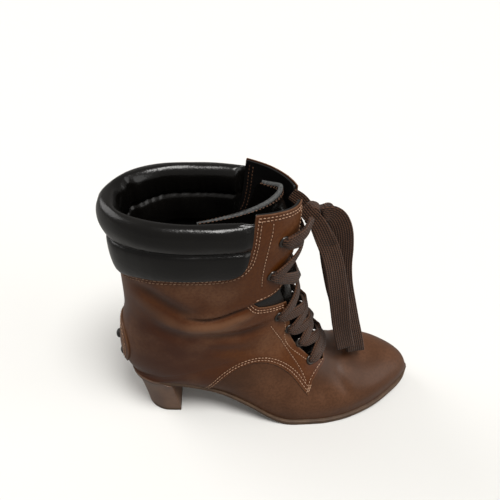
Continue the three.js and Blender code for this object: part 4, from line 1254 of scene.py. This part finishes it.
# The heel's outline from above: the seat's edge, cut off straight at the breast
def heelPlan():
    topX = heel["breastTop"] * bootLength
    bevel = heel["bevel"]
    steps = np.array([t for t in soleSteps(1.2) if bootLength * station["back"](t) < topX])
    ts = np.linspace(seatStation, lastStation, 4000)
    t = np.interp(topX, bootLength * station["back"](ts), ts)
    outerY = -(ballWidth * station["edgeOuter"](t) + seatMargin)
    innerY = ballWidth * station["edgeInner"](t) + seatMargin
    outer = list(featherPoint(steps, -1, seatMargin)) + [np.array([topX - bevel, outerY])]
    inner = list(featherPoint(steps, 1, seatMargin)) + [np.array([topX - bevel, innerY])]
    outerCorner = [np.array([topX, outerY + bevel]), np.array([topX - bevel * 0.3, outerY + bevel * 0.15])]
    innerCorner = [np.array([topX - bevel * 0.3, innerY - bevel * 0.15]), np.array([topX, innerY - bevel])]
    breast = [np.array([topX, y]) for y in np.linspace(innerY - 4, outerY + 4, 9)]
    return np.array(outer[:0:-1] + [(outer[0] + inner[0]) / 2] + inner[1:]
                    + innerCorner + breast + outerCorner)


def heelRing(plan, share, height):
    topX = heel["breastTop"] * bootLength
    backX = plan[:, 0].min()
    half = np.abs(plan[:, 1]).max()
    blend = share ** heel["curve"]
    back = backX + (heel["backBottom"] * bootLength - backX) * blend
    breast = topX + (heel["breastBottom"] - heel["breastTop"]) * bootLength * share
    narrow = 1 + (heel["width"] * ballWidth / half - 1) * blend
    x = back + (plan[:, 0] - backX) / (topX - backX) * (breast - back)
    near = np.clip((plan[:, 0] - topX + heel["turnReach"]) / heel["turnReach"], 0, 1)
    outerSide = np.clip(0.5 - plan[:, 1] / (2 * half), 0, 1)
    turn = heel["turn"][1] - (heel["turn"][0] + heel["turn"][1]) * outerSide
    x = x + turn * near * (0.12 + 0.88 * (1 - share) ** 1.1)
    return np.column_stack([x, plan[:, 1] * narrow, np.broadcast_to(height, len(plan))])


def makeHeel():
    plan = heelPlan()
    shares = np.linspace(0, 1, heel["rings"]) ** 1.3 * (1 - (liftThickness + 0.05) / heelHeight)
    # the cover's top ring wraps over the sole's edge, and drops below the sole at the breast
    top = heelRing(plan, 0.0, 0.0)
    front = ease(np.clip((plan[:, 0] - 0.12 * bootLength) / (0.055 * bootLength), 0, 1))
    top[:, 2] = soleTop(top[:, 0]) + 0.15 - (soleWaist + 0.3) * front
    outward = top[:, :2] - [0.11 * bootLength, 0]
    outward *= heel["coverThickness"] / np.linalg.norm(outward, axis=1)[:, None]
    top[:, :2] += outward
    rings = [top]
    for k, share in enumerate(shares[1:], 1):
        ring = heelRing(plan, share, heelHeight * (1 - share))
        ring[:, 2] = np.minimum(ring[:, 2], top[:, 2] - 0.5 * k)
        ring[:, :2] += outward * max(1 - (k - 1) / 6, 0)
        rings.append(ring)
    makePiece("heel_cover", np.vstack(rings), loftFaces(len(rings), len(plan)), "heel",
              ["heel_block"], sharp=40)
    lift = []
    top = 1 - liftThickness / heelHeight
    for share, height, shrink in ((top, liftThickness, 0.994), (top, liftThickness - 0.3, 1.0),
                                  (1.0, 0.35, 1.0), (1.0, 0.0, 0.985)):
        ring = heelRing(plan, share, height)
        middle = ring.mean(0)
        ring[:, :2] = middle[:2] + (ring[:, :2] - middle[:2]) * shrink
        lift.append(ring)
    makePiece("heel_top_lift_rubber", np.vstack(lift), loftFaces(len(lift), len(plan)), "sole",
              ["heel_top_lift"], sharp=40)


makeHeel()
print("stage: sole and heel")


# Padded collar: two rolls outside and two inside round the top of the shaft
collarRows = [  # reach outwards or inwards, and height from the lower edge to the crest
    (-0.45, 0.0), (0.28, 0.02), (0.66, 0.13), (0.78, 0.31), (0.62, 0.48), (0.12, 0.545), (0.62, 0.60),
    (1.0, 0.72), (0.98, 0.83), (0.55, 0.935), (-0.2, 0.99), (-0.6, 0.97), (-0.92, 0.88), (-1.0, 0.74),
    (-0.9, 0.60), (-0.70, 0.535), (-0.9, 0.46), (-0.97, 0.28), (-0.85, 0.12), (-0.7, 0.02),
]
collar = {
    "step": 1.5,
    "reachTurn": 2.25,  # radians round from the back at which it ends under the eyestay
    "low": 0.70,
    "lowRise": 0.045,
    "crest": 0.952,
    "crestRise": 0.004,
    "frontEnd": 0.372,
    "outerSeamRow": 5.0,
    "innerSeamRow": 15.0,
    "puckerLength": 6.5,
    "dent": 0.28,
    "dentLength": 38,
    "pinch": 2.6,
    "pinchAt": 21,
}


def closedSpline(rows, per):
    p = np.asarray(rows, float)
    n = len(p)
    points, at = [], []
    for k in range(n):
        for s in np.linspace(0, 1, per, endpoint=False):
            points.append(between(p[k - 1], p[k], p[(k + 1) % n], p[(k + 2) % n], s))
            at.append(k + s)
    return np.array(points), np.array(at)


# Uneven waves along a seam or over a stuffed face
def wave(at, seed, length, count=7):
    draw = random.Random(seed)
    total = np.zeros(np.shape(at))
    for _ in range(count):
        total += math.sqrt(2 / count) * np.sin(2 * math.pi * at / (length * draw.uniform(0.6, 1.6))
                                               + draw.uniform(0, 6.28))
    return total


def makeCollar():
    profile, rowAt = closedSpline(collarRows, 5)
    out = profile[:, 0]
    fineT = np.linspace(0, 6, 400)
    upDown = np.array([[1.0, 3.0]])
    sides = [evenSteps(0.035, collar["reachTurn"], collar["step"],
                       lambda f, side=side: surface(upDown, side, f[:, None])) for side in (-1, 1)]
    outerSeam = np.exp(-((rowAt - collar["outerSeamRow"]) / 1.3) ** 2)
    lowerSeam = np.exp(-(np.minimum(rowAt, len(collarRows) - rowAt) / 1.4) ** 2)
    innerSeam = np.exp(-((rowAt - collar["innerSeamRow"]) / 1.5) ** 2)
    rings = []
    passed, last = 0.0, None
    for q in np.r_[-sides[0][::-1], sides[1]]:
        side, turn = (-1 if q < 0 else 1), abs(q)
        drop = 0.5 - 0.5 * math.cos(min(turn / 1.35, 1) * math.pi)
        lowest = shaftTop * (collar["low"] + collar["lowRise"] * drop)
        crest = shaftTop * (collar["crest"] + collar["crestRise"] * drop)
        middle = surface(1.5, side, turn)
        passed += 0 if last is None else np.linalg.norm(middle - last)
        last = middle
        height = lowest + (crest - lowest) * profile[:, 1]
        t = np.interp(-height, -surface(fineT, side, turn)[:, 2], fineT)
        point = surface(t, side, turn)
        normal = surfaceNormal(t, side, max(turn, 0.03))
        normal[:, 2] = 0
        normal /= np.linalg.norm(normal, axis=1)[:, None]
        tuck = ease(np.clip((collar["frontEnd"] * bootLength - point[:, 0]) / 6, 0, 1))
        reach = np.where(out > 0, out * collarBulge * (0.6 + 0.4 * tuck),
                         out * collarPad * np.where(out < -0.1, 0.35 + 0.65 * tuck, 1))
        pucker = ((0.10 * outerSeam + 0.12 * lowerSeam + 0.30 * innerSeam)
                  * wave(passed, 3, collar["puckerLength"]))
        dent = (collar["dent"] * wave(passed + 9 * np.sin(rowAt * 0.5), 11, collar["dentLength"])
                * (1 - outerSeam) * tuck)
        bite = math.exp(-((point[0, 1] - collar["pinchAt"]) / 2.2) ** 2)
        pinch = collar["pinch"] * bite * np.clip((rowAt - 10.5) / 2, 0, 1)
        inwards = np.where(out > -0.1, 1, -1)
        placed = point + normal * (reach + inwards * (pucker + dent) + pinch)[:, None]
        placed[:, 2] = height
        rings.append(placed)
    rings = np.array(rings)
    frontLine = offsetLine(collarLine, clearance)
    above = 1.3 * shaftTop
    cut = [tuple(p) for p in frontLine] + [(frontLine[-1][0], above), (-0.08 * bootLength, above)]
    points = rings.reshape(-1, 3)
    grid = {"base": points, "place": points, "normal": np.zeros(points.shape),
            "fold": np.zeros(len(points)), "quads": loftFaces(*rings.shape[:2], False)}
    base, _, _, _, faces = cutSkin(grid, lambda p: inside(p[:, 0], p[:, 2], cut))
    piece = makePiece("collar_rolls", base, faces, "collar", ["padded_collar"], sharp=70)


makeCollar()
print("stage: collar")

# Tongue
tongueRows = [
    (0.243, 0.628, 0.03, 0.12, 0.17, 0.12, 0.18), (0.285, 0.596, 0.03, 0.18, 0.23, 0.18, 0.24),
    (0.38, 0.545, 0.025, 0.25, 0.27, 0.25, 0.27), (0.475, 0.508, 0.02, 0.30, 0.29, 0.30, 0.28),
    (0.56, 0.486, 0.01, 0.38, 0.32, 0.36, 0.31), (0.63, 0.470, 0.01, 0.44, 0.335, 0.40, 0.32),
    (0.715, 0.458, 0.01, 0.53, 0.34, 0.36, 0.28), (0.83, 0.455, 0.02, 0.62, 0.34, 0.24, 0.22),
    (0.93, 0.455, 0.045, 0.66, 0.365, 0.17, 0.18), (0.965, 0.455, 0.05, 0.67, 0.37, 0.13, 0.15),
]
tongue = {
    "topDip": 3.5,
    "outerDip": 2.3,  # how much further the outer corner of the top dips
    "columns": 61,
    "rows": 100,
    "soft": 0.25,
    "softLength": 26,
    "fillTowards": (0.93, 0, 0.37),
    "fill": 0.88,  # share of the way out to the inner side of the wall
    "seamRows": (4, 6),
}
tongueNames = ["z", "front", "middle", "deepOuter", "wideOuter", "deepInner", "wideInner"]


# Outer and inner faces of the tongue as it was cut, before it meets the lining
def tongueRings():
    curve = tableCurves(tongueNames, tongueRows)
    s = np.linspace(-1, 1, tongue["columns"])
    rings = []
    for row in np.linspace(0, len(tongueRows) - 1, tongue["rows"]):
        deep = ballWidth * np.where(s < 0, curve["deepOuter"](row), curve["deepInner"](row))
        wide = ballWidth * np.where(s < 0, curve["wideOuter"](row), curve["wideInner"](row))
        x = bootLength * curve["front"](row) - deep * s * s
        y = ballWidth * curve["middle"](row) + wide * s
        normal = np.stack([wide, 2 * deep * s, np.zeros(len(s))], 1)
        normal /= np.linalg.norm(normal, axis=1)[:, None]
        half = tonguePad / 2 * (1 - 0.55 * np.abs(s) ** 6)
        drop = (1 - np.cos(np.abs(s) * math.pi)) * 0.5
        top = min(max(row - 8, 0), 1)
        dip = np.where(s < 0, tongue["outerDip"], 1) * tongue["topDip"] * drop * top
        z = curve["z"](row) * shaftTop - dip
        soft = tongue["soft"] * wave(z + 14 * s, 5, tongue["softLength"])
        middle = np.stack([x, y, z], 1)
        thin = 1 - 0.35 * top ** 4
        outer = middle + normal * (half * thin + soft)[:, None]
        inner = middle - normal * (half * thin - soft)[:, None]
        rings.append(np.concatenate([outer, inner[::-1]]))
    return np.array(rings)


def keptInLining(points):
    low = skin["place"] - skin["normal"] * (shoeWall + 0.35)
    tree = treeOf(low, skin["quads"])
    kept = points.copy()
    for k, p in enumerate(points):
        hit, _, index, _ = tree.find_nearest(Vector(p))
        out = Vector(skin["normal"][skin["quads"][index][0]])
        away = (Vector(p) - hit).dot(out)
        if away > 0 and hit.z < 0.97 * shaftTop:
            kept[k] = np.array(Vector(p) - out * away)
    return kept, tree


# The outer face filled out between the throat's edges, under the laces
def filledOut(outerFace, tree):
    towards = np.array(tongue["fillTowards"])
    room = ease(np.clip((openThroat(outerFace) - 0.5) / 5.5, 0, 1))
    room = room * np.clip((0.93 - outerFace[:, 2] / shaftTop) / 0.08, 0, 1)
    for k in np.nonzero(room > 0.01)[0]:
        hit, _, _, distance = tree.ray_cast(Vector(outerFace[k]), Vector(towards), 40)
        if hit is not None:
            outerFace[k] += towards * distance * tongue["fill"] * room[k]
    return outerFace


def makeTongueEdge(outerLine, innerLine):
    points = []
    for a, b in zip(outerLine, innerLine):
        outward = (a - b) / max(np.linalg.norm(a - b), 1e-6)
        up = np.array([0, 0, 1.0])
        points += [a + outward * 0.3 - up * 1.2, a + outward * 0.3 + up * 0.6, a * 0.5 + b * 0.5 + up * 1.0,
                   b - outward * 0.3 + up * 0.6, b - outward * 0.3 - up * 1.2]
    faces = []
    for i in range(len(outerLine) - 1):
        for j in range(4):
            faces.append((i * 5 + j, i * 5 + j + 1, (i + 1) * 5 + j + 1, (i + 1) * 5 + j))
    makePiece("tongue_cut_edge", np.array(points), faces, "rawEdge", ["tongue"])


def makeTongue():
    shape = tongueRings()
    rings, count = shape.shape[:2]
    columns = tongue["columns"]
    points, tree = keptInLining(shape.reshape(-1, 3))
    shape = points.reshape(rings, count, 3)
    outerFace = filledOut(shape[:, :columns].reshape(-1, 3), tree)
    shape[:, :columns] = outerFace.reshape(rings, columns, 3)
    piece = makePiece("tongue_pad", shape.reshape(-1, 3), loftFaces(rings, count), "collar",
                      ["tongue"], sharp=60)
    makeTongueEdge(shape[-1, :columns], shape[-1, columns:][::-1])
    parts = []
    for face in (slice(0, columns), slice(columns, count)):
        for down in tongue["seamRows"]:
            line = shape[rings - down, face]
            normal = np.cross(np.gradient(line, axis=0), [0, 0, 1.0])
            normal /= np.linalg.norm(normal, axis=1)[:, None]
            parts += stitchRow(line, normal, 2.6, 1.5, 0.24)
    points, faces, _ = joined(parts)
    makePiece("tongue_stitching", points, faces, "darkThread", ["tongue"])


makeTongue()
print("stage: tongue")


# Patch on the counter with its studs
patch = {
    "middle": 0.345,
    "halfHeight": 0.113,
    "halfWidth": 0.225,
    "egg": 0.14,  # wider at the top than at the bottom
    "seams": (1.9, 3.8),
    "studs": {"upper": 0.352, "lower": 0.262},
}


def patchField(p):
    v = (p[:, 2] / shaftTop - patch["middle"]) / patch["halfHeight"]
    u = p[:, 1] / (patch["halfWidth"] * ballWidth * (1 + patch["egg"] * np.clip(v, -1, 1)))
    size = np.hypot(u, v)
    field = (1 - size) * patch["halfWidth"] * ballWidth
    return np.where(p[:, 0] < 0.12 * bootLength, field, -20)


def turnedForm(profile, point, direction, sides=24):
    axis = Vector(direction).normalized()
    side = axis.orthogonal().normalized()
    other = axis.cross(side)
    points = []
    for r, h in profile:
        for a in np.linspace(0, 2 * math.pi, sides, endpoint=False):
            points.append(np.array(point) + np.array(axis) * h
                          + (np.array(side) * math.cos(a) + np.array(other) * math.sin(a)) * r)
    return np.array(points), loftFaces(len(profile), sides, False)


def makePatch():
    points, faces, fields, bases = sheet(skin, patchField, -(clearance + patchThickness), -0.05)
    ring = np.abs(patchField(bases) - 2.2)
    fields["seam"] = np.minimum(ring, np.abs(patchField(bases) - 4.2))
    makePiece("heel_patch_leather", points, faces, "quarter", ["heel_patch"], fields,
              sharp=50)
    tree = treeOf(points, faces)
    parts = []
    for inset in patch["seams"]:
        line = []
        for a in np.linspace(0, 2 * math.pi, 90):
            v = math.sin(a)
            wide = patch["halfWidth"] * ballWidth * (1 + patch["egg"] * v)
            line.append((-60.0, (wide - inset) * math.cos(a),
                         shaftTop * patch["middle"] + (patch["halfHeight"] * shaftTop - inset) * v))
        places, normals = thrown(tree, line, (1, 0, 0))
        parts += stitchRow(places, normals)
    points, faces, _ = joined(parts)
    makePiece("heel_patch_stitching", points, faces, "thread", ["heel_patch"])
    ts = np.linspace(0, seatStation, 800)
    x, z = backEnd(ts)
    for name, height in patch["studs"].items():
        k = int(np.argmin(np.abs(z - height * shaftTop)))
        run = np.array([x[min(k + 5, 799)] - x[k], z[min(k + 5, 799)] - z[k]])
        run /= np.hypot(*run)
        direction = (run[1], 0, -run[0])
        start = clearance + patchThickness + 0.05
        place = np.array([x[k], 0, z[k]]) + np.array(direction) * start
        profile = [(0.01, -0.2), (studRadius, -0.2), (studRadius, 0.5)]
        profile += [(studRadius * math.cos(a), 0.5 + (studHeight - 0.4) * math.sin(a))
                    for a in np.linspace(0.25, math.pi / 2 - 0.02, 7)]
        p, f = turnedForm(profile, place, direction)
        f.append(tuple(range(len(p) - 24, len(p))))
        makePiece(f"heel_stud_{name}_dome", p, f, "stud", [f"heel_stud_{name}"], sharp=45)


makePatch()
print("stage: patch")

# Eyelets and the lace through them
eyeletPlaces = [
    (0.600, 0.268), (0.558, 0.350), (0.517, 0.432), (0.478, 0.508), (0.438, 0.727), (0.456, 0.862)]


def findEyelets():
    t, turn = np.meshgrid(np.arange(0, 18.01, 0.1), np.arange(math.pi / 2, math.pi, 0.02), indexing="ij")
    found = []
    for x, z in eyeletPlaces:
        pair = []
        for side in (-1, 1):
            p = surface(t, side, turn)
            miss = np.hypot(p[..., 0] - x * bootLength, p[..., 2] - z * shaftTop)
            k = np.unravel_index(np.argmin(miss), miss.shape)
            pair.append({"side": side, "t": t[k], "turn": turn[k], "point": p[k],
                         "normal": surfaceNormal(t[k], side, turn[k])})
        found.append(pair)
    return found


eyelets = findEyelets()


def makeEyelets():
    bore, flange = eyeletBore / 2 + 0.3, eyeletFlange / 2 + 0.9
    profile = [(bore + 0.5, -1.6), (bore, -1.2), (bore, 0.3), (bore + 0.12, 0.68), (bore + 0.45, 0.95),
               ((bore + flange) / 2, 1.05), (flange - 0.35, 0.85), (flange, 0.4), (flange, 0.0)]
    for k, pair in enumerate(eyelets):
        for eyelet in pair:
            name = f"eyelet_{'outer' if eyelet['side'] < 0 else 'inner'}_{k + 1}"
            p, f = turnedForm(profile, eyelet["point"] + eyelet["normal"] * 0.1, eyelet["normal"])
            makePiece(name + "_ring", p, f, "eyelet", [name])


makeEyelets()
laceLift = flangeLift + eyeletThickness + 2 * clearance + laceThickness / 2
lacing = {
    "steps": (0.07, 0.16, 0.27, 0.38, 0.5, 0.62, 0.73, 0.84, 0.93),
    "under": -2.0,  # depths where a lace goes through its eyelet
    "through": 1.0,
    "over": 0.75,  # lift of one lace over the other where they cross
    "baseOver": 0.2,
    "thickness": 2.3,
    "endNarrow": 0.66,
    "endReach": 4.6,
    "lastWidth": 9.5,
    "lastThickness": 3.0,
}


def laceRoute(route, outs):
    path, along = smoothPath(np.hstack([np.array(route), np.array(outs)]), 1.0)
    return path[:, :3], path[:, 3:], along


# A lace run over the front of the boot from one eyelet to another
def crossing(a, b, over):
    route = [a["point"] + a["normal"] * lacing["under"], a["point"] + a["normal"] * lacing["through"]]
    outs = [a["normal"], a["normal"]]
    for share in lacing["steps"]:
        side = -1 if share < 0.5 else 1
        if a["side"] > 0:
            side = -side
        t = a["t"] + (b["t"] - a["t"]) * share
        start = a["turn"] if share < 0.5 else b["turn"]
        turn = start + (math.pi - 0.02 - start) * (1 - abs(2 * share - 1))
        normal = surfaceNormal(t, side, min(turn, math.pi - 0.2))
        hump = math.exp(-((share - 0.5) / 0.13) ** 2)
        rise = laceLift * (0.72 + 0.28 * min(share, 1 - share) * 2) + over * hump
        route.append(surface(t, side, turn) + normal * rise)
        outs.append(normal)
    route += [b["point"] + b["normal"] * lacing["through"], b["point"] + b["normal"] * lacing["under"]]
    outs += [b["normal"], b["normal"]]
    return laceRoute(route, outs)


# A rounder lace than the bow's, bunched where it goes through its eyelets
def laceAlong(path, outs, along, wide=laceWidth, thick=lacing["thickness"], sides=22):
    run = directions(path)
    out = outs - run * (outs * run).sum(1)[:, None]
    out /= np.maximum(np.linalg.norm(out, axis=1), 1e-6)[:, None]
    reach = lacing["endReach"]
    ends = np.exp(-(along / reach) ** 2) + np.exp(-((along[-1] - along) / reach) ** 2)
    w = wide * (1.06 - lacing["endNarrow"] * ends)
    h = thick * (1 + 0.35 * ends)
    wideDir = np.cross(run, out)
    a = np.linspace(0, 2 * math.pi, sides, endpoint=False)
    across = squarer(np.cos(a), 0.7)
    lift = squarer(np.sin(a), 0.75)
    dome = np.where(lift > 0, 1.25, 0.75)
    points = (path[:, None] + wideDir[:, None] * (across[None, :, None] * w[:, None, None] / 2)
              + out[:, None] * (lift[None, :] * dome[None, :] * h[:, None] / 2)[..., None])
    faces = [tuple(reversed(face)) for face in loftFaces(len(path), sides)]
    fields = {"across": (across[None, :] * w[:, None] / 2).ravel(), "along": np.repeat(along, sides)}
    return points.reshape(-1, 3), faces, fields


def makeLacing():
    parts = [laceAlong(*crossing(eyelets[0][0], eyelets[0][1], lacing["baseOver"]))]
    for k in range(len(eyelets) - 1):
        over = lacing["over"] * (-1 if k % 2 else 1)
        parts.append(laceAlong(*crossing(eyelets[k][0], eyelets[k + 1][1], over)))
        parts.append(laceAlong(*crossing(eyelets[k + 1][0], eyelets[k][1], -over)))
    for eyelet in eyelets[-1]:  # from the top eyelets into the knot
        end = knotCentre + [-1.0, eyelet["side"] * 5.0, -1.5]
        start = eyelet["point"]
        n = eyelet["normal"]
        middle = (start + n * laceLift) * 0.45 + end * 0.55 + n * 3.4
        near = (start + n * laceLift) * 0.85 + end * 0.15 + n * 0.8
        route = [start + n * lacing["under"], start + n * lacing["through"], near, middle, end]
        parts.append(laceAlong(*laceRoute(route, [n] * len(route)), lacing["lastWidth"],
                               lacing["lastThickness"]))
    points, faces, fields = joined(parts)
    makePiece("lace_rows", points, faces, "lace", ["lacing"], fields)


makeLacing()
print("stage: lacing")


# Floor, light and air
studio = {"floorReach": 4.0, "air": (1.0, 0.965, 0.925, 1), "airStrength": 0.31}
suns = [
    {"name": "overhead", "from": (0.16, -0.30, 0.94), "angle": 24, "power": 2.4,
     "tone": (1.0, 0.985, 0.96)},
    {"name": "right_window", "from": (0.85, -0.30, 0.40), "angle": 50, "power": 0.95,
     "tone": (1.0, 0.99, 0.97)},
    {"name": "rear_window", "from": (-0.75, 0.45, 0.50), "angle": 40, "power": 0.95,
     "tone": (1.0, 0.99, 0.98)},
]


def makeStudio():
    mesh = bpy.data.meshes.new("floor")
    reach = studio["floorReach"]
    mesh.from_pydata([(-reach, -reach, 0), (reach, -reach, 0), (reach, reach, 0), (-reach, reach, 0)], [],
                     [(0, 1, 2, 3)])
    floor = bpy.data.objects.new("floor", mesh)
    look = Look("floor_paper")
    # the camera sees a paler paper than the one that throws light back at the boot
    seen = look.node("ShaderNodeLightPath").outputs["Is Camera Ray"]
    mesh.materials.append(look.finish(look.mix(seen, rgb("8f8e8c"), rgb("e9e9e7")), 0.9))
    bpy.context.scene.collection.objects.link(floor)
    for sun in suns:
        data = bpy.data.lights.new(sun["name"], "SUN")
        data.angle = math.radians(sun["angle"])
        data.energy = sun["power"]
        data.color = sun["tone"]
        thing = bpy.data.objects.new(sun["name"], data)
        thing.rotation_mode = "QUATERNION"
        thing.rotation_quaternion = Vector(sun["from"]).to_track_quat("Z", "Y")
        bpy.context.scene.collection.objects.link(thing)
    world = bpy.data.worlds.new("air")
    world.use_nodes = True
    air = world.node_tree.nodes["Background"]
    air.inputs["Color"].default_value = studio["air"]
    air.inputs["Strength"].default_value = studio["airStrength"]
    bpy.context.scene.world = world
    bpy.context.scene.view_settings.view_transform = "Standard"


makeStudio()
print("stage: studio")
